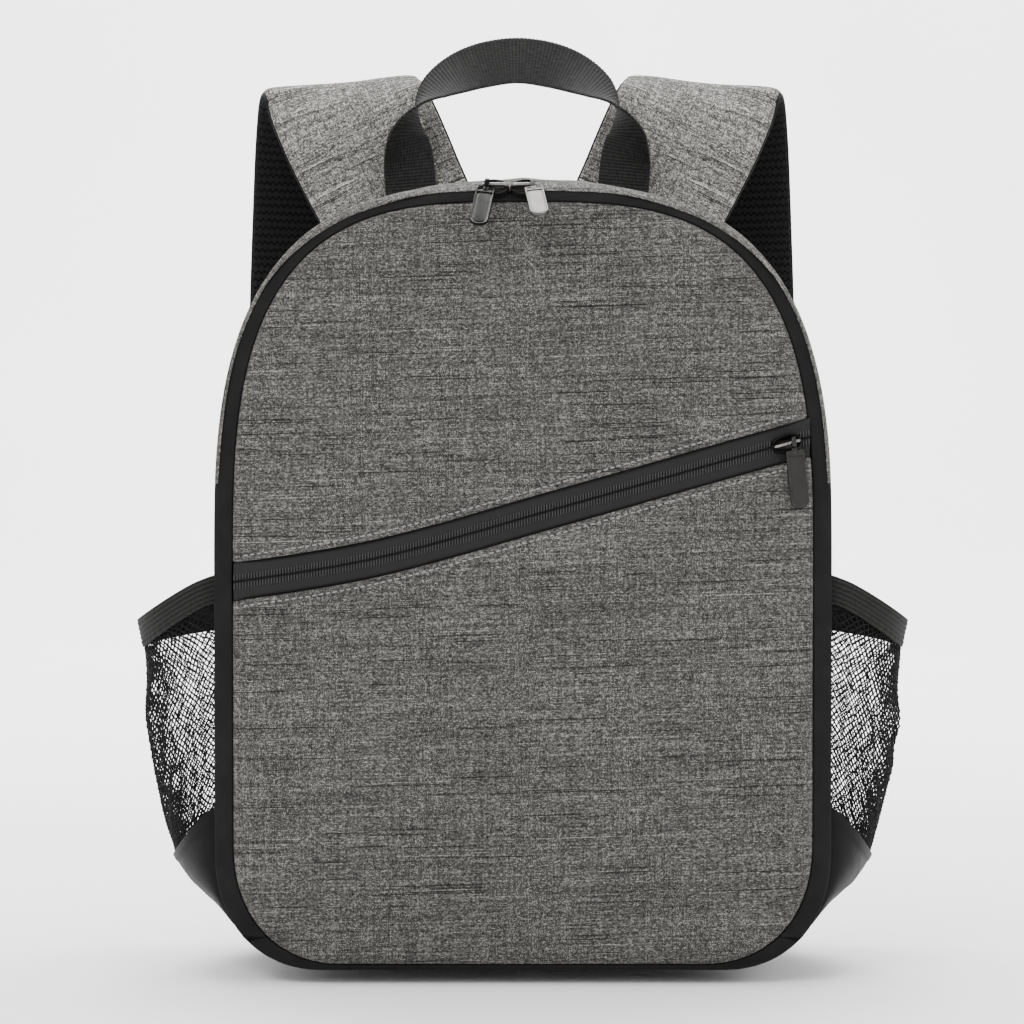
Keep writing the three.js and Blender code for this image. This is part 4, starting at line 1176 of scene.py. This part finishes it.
def adjuster(name, side):
    """Tab, buckle, lower webbing and anchor below one strap. Returns the seam of the anchor's box stitch."""
    centre, across, up, _, _ = strap_stations(37)
    middle, across, up = centre[-1], across[-1], up[-1]
    x = side * middle[0]
    down = np.cross(up, across)

    def place(pair):
        along, level = pair
        return (middle[1] + down[1] * along + up[1] * level, middle[2] + down[2] * along + up[2] * level)

    radius = BUCKLE_THICKNESS / 2 + CLEARANCE + WEBBING_THICKNESS / 2
    bar_one = TAB_LENGTH
    bar_two = bar_one + 2 * BUCKLE_BAR + 2 * radius
    bar_three = bar_two + 2 * BUCKLE_BAR
    tab = [(CLEARANCE, radius), *bend(bar_one + BUCKLE_BAR / 2, radius, 90, -90), (CLEARANCE, -radius)]
    side_webbing(f"{name}_tab_webbing", [place(p) for p in tab], x, f"{name}_strap_tab")
    copied(f"{name}_buckle", f"{name}_buckle_moulded", 0.5, PLASTIC)
    bottom = bar_three + BUCKLE_BAR / 2
    anchor_face = BODY_BACK + CLEARANCE + WEBBING_THICKNESS
    anchor_top = ANCHOR_FOOT + ANCHOR_HEIGHT
    web_y = anchor_face + CLEARANCE + WEBBING_THICKNESS / 2
    run = [
        (web_y, anchor_top - ANCHOR_HEIGHT / 2), (web_y, anchor_top - ANCHOR_HEIGHT / 4),
        (web_y + WEBBING_THICKNESS, anchor_top), place((bottom + radius, -radius)),
        *[place(p) for p in bend(bar_two - BUCKLE_BAR / 2 + CLEARANCE, radius, 270, 90)],
        place((bottom + CLEARANCE, radius)), place((bottom + TAIL_LENGTH / 2, 2 * radius)),
        place((bottom + TAIL_LENGTH, 2.5 * radius)),
    ]
    side_webbing(f"{name}_lower_webbing", run, x, f"{name}_strap_webbing")

    corners = np.array([(-0.5, 0), (0.5, 0), (0.5, 0.25), (0.3, 1), (-0.3, 1), (-0.5, 0.25)])
    flat = np.column_stack([x + corners[:, 0] * ANCHOR_WIDTH, ANCHOR_FOOT + corners[:, 1] * ANCHOR_HEIGHT])
    edge = resample(flat, 1.5, closed=True)
    skin = Skin()
    rows = []
    for inset, depth in ((0, 0.0), (0, 0.7), (0.5, 1.0), (2.4, 1.0), (3.0, 0.8), (3.6, 1.0), (12, 1.0)):
        shrunk = edge + (edge.mean(0) - edge) * min(inset / 18, 0.8)
        rows.append(at_depth(shrunk, BODY_BACK + CLEARANCE + WEBBING_THICKNESS * depth))
    rows = closed_columns(np.array(rows))
    skin.grid(rows, rows[:, :, [0, 2]])
    for k in (0, -1):
        skin.cap(rows[k, :-1], rows[k, :-1][:, [0, 2]])
    dress(skin.build(f"{name}_anchor_cloth"), NYLON, stands_for=[f"{name}_strap_anchor"])

    box = np.array([(-9, 0), (9, 0), (9, 12), (-9, 12), (-9, 0), (9, 12), (9, 0), (-9, 12)])
    box = np.column_stack([x + box[:, 0], anchor_top - ANCHOR_HEIGHT / 2 + 1.5 + box[:, 1] * 0.6])
    line = resample(at_depth(box, web_y + WEBBING_THICKNESS / 2), 0.6)
    return line, np.tile([0.0, 1.0, 0.0], (len(line), 1))


# Side pockets

WALL_EDGE = ring(BODY_EDGE, 0, even_places(SEAM_PLACES))


def seam_at(z):
    """How far out the pocket is sewn to the wall at a height."""
    right = WALL_EDGE[(WALL_EDGE[:, 0] > 60) & (WALL_EDGE[:, 1] < 250)]
    swell = DOME_SWELL[-1][1] * smoothstep(z, MOUTH[1], MOUTH[0] + POCKET_REACH)
    return np.interp(z, right[:, 1], right[:, 0]) + POCKET_GAP + swell


def pocket_height(share, rows):
    """Height of a line across the pocket from its (front seam, middle, back seam) heights."""
    front, middle, back = rows
    seam = np.where(share < 0.5, front, back)
    return seam + (middle - seam) * np.sin(math.pi * share)


def pocket_point(share, z, out):
    """A point of the pocket's wall on the right side: share runs from the front seam to the back seam."""
    bow = np.sin(math.pi * np.clip(share, 0, 1)) ** 0.8
    y = POCKET_FRONT + (POCKET_BACK - POCKET_FRONT) * (1 - np.cos(math.pi * share)) / 2
    sewn = (POCKET_GAP + 0.2) * (1 - smoothstep(np.minimum(share, 1 - share), 0, 0.05))
    return np.stack(np.broadcast_arrays(seam_at(z) + out * POCKET_REACH * bow - sewn, y, z), -1)


net_out, floor_out = smooth_table(NET_ROWS), smooth_table(FLOOR_ROWS)


def even_shares(count):
    """Shares at even steps across the pocket near its mouth, and its length there."""
    dense = np.linspace(0, 1, 2001)
    line = pocket_point(dense, 150.0, 1.0)
    along = arc_length(line)
    return np.interp(np.linspace(0, 1, count), along / along[-1], dense), along[-1]


def pocket_layer(name, side, surface, thickness, shares, downs, length, height, relief):
    """A closed sheet of the pocket's wall: surface(share, down) gives its outer face, before its relief."""
    share, down = np.meshgrid(shares, downs)
    outer = surface(share, down)
    below, ahead = np.gradient(outer, axis=(0, 1))
    normal = unit(np.cross(below, ahead))
    normal = normal * np.sign(normal[..., :1] + 1e-9)
    outer = outer + normal * relief(share, down)[..., None]
    inner = outer - normal * thickness
    inner[..., 0] = np.maximum(inner[..., 0], seam_at(inner[..., 2]) - POCKET_GAP - 1.2)
    outer, inner = outer * [side, 1, 1], inner * [side, 1, 1]
    uv = np.stack([share * length, -down * height], -1)
    skin = Skin()
    skin.grid(outer, uv)
    skin.grid(inner, uv + 0.3)
    for k in (0, -1):
        skin.grid(np.stack([outer[k], inner[k]]), np.stack([uv[k], uv[k] + [0, 1]]))
        skin.grid(np.stack([outer[:, k], inner[:, k]]), np.stack([uv[:, k], uv[:, k] + [1, 0]]))
    return skin.build(name)


def pocket(name, side):
    shares, length = even_shares(170)
    seed = 8 if side < 0 else 9

    def elastic_surface(share, down):
        height = pocket_height(share, MOUTH) - down * ELASTIC_HEIGHT
        return pocket_point(share, height, 1 - ELASTIC_FLARE * down)

    def elastic_ribs(share, down):
        gather = 0.16 * np.sin(share * length * 2 * math.pi / 5.1 + 2 * np.sin(share * 17))
        edge = 0.35 * (1 - smoothstep(down, 0, 0.06)) + 0.35 * smoothstep(down, 0.94, 1)
        return 0.13 * np.cos(down * 2 * math.pi * ELASTIC_RIBS) - edge + gather * smoothstep(down, 0.5, 1)

    band = pocket_layer(f"{name}_pocket_elastic_band", side, elastic_surface, ELASTIC_THICKNESS * 0.8,
                        shares, np.linspace(0, 1, 49), length, ELASTIC_HEIGHT, elastic_ribs)
    dress(band, ELASTIC, stands_for=[f"{name}_pocket_elastic"])

    def net_surface(share, down):
        top = pocket_height(share, MOUTH) - ELASTIC_HEIGHT - CLEARANCE
        foot = pocket_height(share, RIM) + CLEARANCE
        z = top + (foot - top) * down
        point = pocket_point(share, z, net_out(down))
        bow = np.sin(math.pi * np.clip(share, 0, 1))
        taut = net_out(down) * POCKET_REACH * (bow**0.8 - (1 - np.abs(2 * share - 1)) ** 1.05)
        sag = 1.3 * ripple(share * length, down * 100, 34, seed) * bow**0.5
        slack = np.sin(math.pi * np.clip(down, 0, 1)) ** 0.6
        point[..., 0] = point[..., 0] + (sag - 0.75 * taut) * slack - 0.5
        return point

    net = net_piece(f"{name}_pocket_net_mesh", side, net_surface, length, seed)
    dress(net, NET_YARN, stands_for=[f"{name}_pocket_net"])

    def floor_surface(share, down):
        top = pocket_height(share, RIM)
        z = top + (POCKET_FOOT - top) * down
        point = pocket_point(share, z, floor_out(down))
        crease = 0.5 * ripple(share * 90, down * 60, 22, seed + 2)
        point[..., 0] = point[..., 0] + crease * np.sin(math.pi * share) * np.sin(math.pi * down)
        return point

    def hem(share, down):
        return np.broadcast_to(0.5 * (1 - smoothstep(down, 0.1, 0.13)), share.shape)

    floor = pocket_layer(f"{name}_pocket_bottom_cloth", side, floor_surface, FLOOR_THICKNESS * 0.75,
                         shares, np.r_[0, 0.015, np.linspace(0.04, 1, 40)], length, 60, hem)
    dress(floor, NYLON, stands_for=[f"{name}_pocket_bottom"])
    share, down = np.meshgrid(shares, np.linspace(0, 1, 30))
    face = floor_surface(share, down)


NET_PITCH, NET_DROP, YARN_WIDTH, YARN_THICKNESS = 3.7, 100.0, 0.42, 0.36


def net_piece(name, side, surface, length, seed):
    """Open net: two crossing families of yarns, in meshes that wander slightly."""
    columns, rows = int(length / NET_PITCH), int(NET_DROP / NET_PITCH)
    skin = Skin()

    def node(i, j):
        u = i / columns + 0.0035 * np.sin(j * 1.7 + i * 0.9 + seed)
        v = j / rows + 0.005 * np.sin(i * 1.3 + j * 0.6 + 2 * seed)
        return np.clip(u, 0, 1), np.clip(v, 0, 1)

    for family in (1, -1):
        for start in range(-rows, columns + rows):
            j = np.arange(0, rows + 0.5, 0.5)
            i = start + family * j
            keep = (i >= 0) & (i <= columns)
            if keep.sum() < 3:
                continue
            u, v = node(i[keep], j[keep])
            line = surface(u, v)
            ahead = unit(np.gradient(line, axis=0))
            out = unit(np.column_stack([np.ones(len(line)), (line[:, 1]) / 70.0, np.zeros(len(line))]))
            out = unit(out - ahead * (out * ahead).sum(1, keepdims=True))
            lateral = np.cross(ahead, out)
            weave = (0.16 * family * np.cos(j[keep] * 2 * math.pi))[:, None]
            centre = line + out * (weave - 0.4)
            rings = np.stack([centre + lateral * a * YARN_WIDTH + out * b * YARN_THICKNESS
                              for a, b in ((-1, 0), (0, 1), (1, 0), (0, -1), (-1, 0))], 1) * [side, 1, 1]
            skin.grid(rings, np.zeros((*rings.shape[:2], 2)), ends=True)
    return skin.build(name)


box_seams = []
for name, side in (("left", -1), ("right", 1)):
    for cloth, node, sign, thickness, soft, material, slot in (
            ("cloth", "face", 1, STRAP_FACE, 3.4, STRAP_CLOTH, "strap_cloth"),
            ("mesh", "lining", -1, STRAP_LINING, 2.6, MESH, "air_mesh")):
        strap_piece(f"{name}_strap_{cloth}", f"{name}_strap_{node}", side, sign, thickness, soft,
                    material)
    box_seams.append(adjuster(name, side))
    pocket(name, side)
    centre, across, _, half, _ = strap_stations(STRAP_STATIONS)
    edges = [(centre + across * (s * half)[:, None]) * [side, 1, 1] for s in (-1, 1)]
    tube(f"{name}_strap_piping", edges, 0.9, BLACK_THREAD)

stitches("anchor_stitches", box_seams, BLACK_THREAD)


# Zip sliders and pulls
# Both are drawn with the track along x, the way across it along y and the outward direction along z

AXIS_HEIGHT = CLEARANCE + SLIDER_THICKNESS + RING_OUTER + CLEARANCE
SLIDER_RIM, BAR_RADIUS = 0.65, 0.75
PULL_HEAD = 3.4  # from the pull's top to the bar across it


def tongue(width, top, foot, inset):
    """Outline of a plate along y: small round corners at its top and a half circle at its foot."""
    half = width / 2 - inset
    corner = max(1.3 - inset, 0.15)
    turn = np.linspace(0, math.pi / 2, 9)
    side, level = half - corner, top - inset - corner
    corners = np.column_stack([side + corner * np.sin(turn), level + corner * np.cos(turn)])
    round_end = np.linspace(0, math.pi, 27)
    middle = foot + width / 2
    end = np.column_stack([half * np.cos(round_end), middle - half * np.sin(round_end)])
    return np.vstack([corners, end, corners[::-1] * [-1, 1]])


def plate(skin, outline, profile):
    """A closed plate from (inset, height) pairs that run from its lower face round to its upper face."""
    rows = [np.column_stack([outline(inset), np.full(len(outline(0)), height)]) for inset, height in profile]
    rows = closed_columns(np.array(rows))
    skin.grid(rows, rows[:, :, :2])
    for k in (0, -1):
        skin.cap(rows[k, :-1], rows[k, :-1, :2])


def squarish(turn, power, half_x, half_y):
    """x and y of an oval between a circle, power 1, and a box."""
    x, y = np.cos(turn), np.sin(turn)
    return np.sign(x) * np.abs(x) ** power * half_x, np.sign(y) * np.abs(y) ** power * half_y


def hoop(skin, radius, section):
    """A closed ring about the x axis with a rounded section of half sizes (x, radial)."""
    turn = np.linspace(0, 2 * math.pi, 31)[:, None]
    side, radial = squarish(np.linspace(0, 2 * math.pi, 13)[None, :], 0.6, *section)
    rows = np.stack([side + 0 * turn, (radius + radial) * np.cos(turn), (radius + radial) * np.sin(turn)], -1)
    skin.grid(rows, rows[:, :, :2])


def placed(skin, name, matrix):
    """Moves a drawn piece to its place on the bag."""
    points = np.vstack(skin.points)
    skin.points = [points @ matrix[:3, :3].T + matrix[:3, 3]]
    return skin.build(name)


def turned(axis, degrees):
    matrix = np.eye(4)
    matrix[:3, :3] = np.array(Matrix.Rotation(math.radians(degrees), 3, axis))
    return matrix


def moved(x, y, z):
    matrix = np.eye(4)
    matrix[:3, 3] = (x, y, z)
    return matrix


def zip_pull(name, body, place, track, face, ring_side, lean, swing, pull_metal):
    """A cast slider with a bright bar, and the pull whose ring goes round the bar."""
    matrix = np.eye(4)
    matrix[:3] = np.column_stack([track, np.cross(face, track), face, place])
    half, half_width = SLIDER_LENGTH / 2, SLIDER_WIDTH / 2

    def oval(inset):
        turn = np.linspace(0, 2 * math.pi, 49)[:-1]
        return np.column_stack(squarish(turn, 0.7, half - inset, half_width - inset))

    low, high = CLEARANCE, CLEARANCE + SLIDER_THICKNESS
    skin = Skin()
    plate(skin, oval, [
        (0.5, low), (0, low + 0.3), (0, low + 0.9), (0.7, low + 1.05), (0.7, low + 1.35), (0, low + 1.5),
        (0, high - 0.35), (0.3, high), (1.0, high + 0.1), (1.5, high - 0.2), (1.9, high - 0.8)])
    lip = np.linspace(0, 2 * math.pi, 41)
    cos, sin = np.cos(lip), np.sin(lip)
    rim = np.column_stack([(half - 0.5) * cos, (half_width - 0.3) * sin, np.full(41, high + 0.2)])
    radial = np.column_stack([cos, sin, 0 * lip])
    rows = np.array([rim + radial * SLIDER_RIM * math.cos(t) + np.array([0, 0, SLIDER_RIM * math.sin(t)])
                     for t in np.linspace(0, 2 * math.pi, 9)])
    skin.grid(rows, rows[:, :, :2])
    slider = placed(skin, f"{name}_slider_cast", matrix)
    dress(slider, DARK_METAL, stands_for=[f"{name}_slider"])

    reach = half - BRIDGE / 2 - 0.4
    top = AXIS_HEIGHT
    leg = [(reach, low + 1), (reach, top - 1.2), (reach - 0.5, top - 0.3), (reach - 1.4, top)]
    bar = Curve([(-x, 0, z) for x, z in leg] + [(0, 0, top + 0.1)] + [(x, 0, z) for x, z in leg[::-1]])
    points = bar.at(np.linspace(0, 1, 50)) @ matrix[:3, :3].T + matrix[:3, 3]
    tube(f"{name}_slider_bar", [points], BAR_RADIUS, BRIGHT_METAL)

    shift = half - 2 * BRIDGE - RING_WIDTH / 2
    hinge = matrix @ moved(ring_side * shift, 0, AXIS_HEIGHT) @ turned("Z", swing) @ turned("X", lean)
    skin = Skin()
    middle = (RING_INNER + RING_OUTER) / 2
    hoop(skin, middle, (RING_WIDTH / 2, (RING_OUTER - RING_INNER) / 2))
    thick = PULL_THICKNESS / 2
    plate(skin, lambda inset: tongue(2.6, -middle, -RING_OUTER - RING_WIDTH - 1.2, min(inset, 0.5)),
          [(0.4, -thick), (0, -thick + 0.3), (0, thick - 0.3), (0.4, thick)])
    foot, top = -RING_OUTER - PULL_LENGTH, -RING_OUTER - 0.9
    plate(skin, lambda inset: tongue(PULL_WIDTH, top, foot, inset), [
        (0.35, -thick), (0, -thick + 0.3), (0, thick - 0.25), (0.25, thick + 0.05), (0.6, thick + 0.05),
        (0.95, thick - 0.35), (1.5, thick - 0.42)])
    plate(skin, lambda inset: tongue(PULL_WIDTH - 1.9, top - 0.9, foot + 0.95, inset), [
        (0.4, -thick + 0.2), (0, 0), (0, thick - 0.55), (0.5, thick - 0.3), (1.2, thick - 0.22)])
    fold = tongue(PULL_WIDTH - 0.8, top - 0.5, top - 0.5 - PULL_HEAD - PULL_WIDTH / 2, 0)[:, 0]
    turn = np.linspace(0, 2 * math.pi, 9)
    rows = np.array([[(x, top - PULL_HEAD + 0.45 * math.cos(t), thick - 0.2 + 0.4 * math.sin(t)) for t in turn]
                     for x in np.linspace(fold.min(), fold.max(), 9)])
    skin.grid(rows, rows[:, :, :2], ends=True)
    pull = placed(skin, f"{name}_pull_cast", hinge)
    dress(creased(pull, 50), pull_metal, body, stands_for=[f"{name}_pull"])


band_slope = BAND_OUTER - BAND_INNER
band_rise = BODY_EDGE[1] - PANEL_EDGE[1]
band_up = unit(np.array([0.0, band_slope, band_rise]))
band_face = np.cross([1.0, 0, 0], band_up)
band_angle = math.degrees(math.atan2(band_up[1], band_up[2]))
band_middle = np.array([0, BAND_OUTER, BODY_EDGE[1]]) - band_up * SLIDER_WIDTH / 4
# Both main pulls are the same gunmetal: the left one takes the darker slider metal as painted shade, the right
# one the lighter copy as painted light
for name, side, lean, swing, metal in (("left", -1, 50, -8, DARK_METAL), ("right", 1, 60, 7, PAINTED_LIT_METAL)):
    place = band_middle + [ZIP_MEET + side * (CLEARANCE + SLIDER_LENGTH / 2), 0, 0]
    zip_pull(f"main_{name}", f"{name}_tab", place, [1, 0, 0], band_face, side,
             band_angle - lean, swing, metal)

slider_x = PANEL_EDGE[0] - POCKET_SLIDER_INSET
rise = zip_height(slider_x + 0.5) - zip_height(slider_x - 0.5)
zip_pull("pocket", "pocket_tab", [slider_x, ZIP_FACE, zip_height(slider_x)], unit(np.array([1, 0, rise])),
         [0, -1, 0], 1, 5, -9, METAL)


# Floor, lights and camera

def studio():
    """Pale curved paper, four soft lights and a camera at the photograph's angle."""
    scene = bpy.context.scene
    profile = [
        (-3.2, 0.0), (1.6, 0.0), (2.1, 0.02), (2.5, 0.12), (2.8, 0.34), (2.95, 0.7), (3.0, 1.2), (3.0, 4.5),
    ]
    line = Curve([(y, z, 0) for y, z in profile]).at(np.linspace(0, 1, 60))[:, :2]
    xs = np.linspace(-5, 5, 21)
    rows = np.array([[(x, y, z) for x in xs] for y, z in line]) * 1000
    skin = Skin()
    skin.grid(rows, rows[:, :, :2])
    floor = skin.build("studio_floor", closed=False)
    paint = Paint("studio_paper", roughness=0.95, specular=0.1)
    paint.colour(paint.solid_noise(3, 2), 1, 0, (0.3, 0.86), (0.7, 0.9))
    floor.data.materials.append(paint.bump(paint.solid_noise(60, 2), 0.1, 0.05))

    world = scene.world or bpy.data.worlds.new("studio")
    scene.world = world
    world.use_nodes = True
    background = world.node_tree.nodes["Background"]
    background.inputs["Color"].default_value = (1, 1, 1, 1)
    background.inputs["Strength"].default_value = 1.15

    def softbox(name, place, aim, size, power):
        light = bpy.data.lights.new(name, "AREA")
        light.shape, light.size, light.size_y, light.energy = "RECTANGLE", size[0], size[1], power
        lamp = bpy.data.objects.new(name, light)
        lamp.location = place
        lamp.rotation_euler = (Vector(aim) - Vector(place)).to_track_quat("-Z", "Y").to_euler()
        scene.collection.objects.link(lamp)

    softbox("key", (-1.1, -1.9, 2.1), (0, 0, 0.2), (1.4, 1.0), 52)
    softbox("fill", (1.6, -1.7, 1.2), (0, 0, 0.2), (1.4, 1.4), 24)
    softbox("top", (0, 0.4, 2.2), (0, 0, 0.1), (2.0, 1.6), 42)
    softbox("backdrop", (0, 1.2, 2.6), (0, 3.0, 0.6), (3.0, 1.0), 240)

    camera = bpy.data.objects.new("camera", bpy.data.cameras.new("camera"))
    scene.collection.objects.link(camera)
    target = Vector((-0.005, -0.065, 0.211))
    tilt, distance, seen, sensor = math.radians(2.0), 1.65, 0.4663, 36
    camera.location = target + Vector((0, -math.cos(tilt), math.sin(tilt))) * distance
    camera.rotation_euler = (target - camera.location).to_track_quat("-Z", "Y").to_euler()
    camera.data.sensor_width = sensor
    camera.data.lens = sensor * distance / seen
    camera.data.clip_end = 50
    scene.camera = camera


studio()
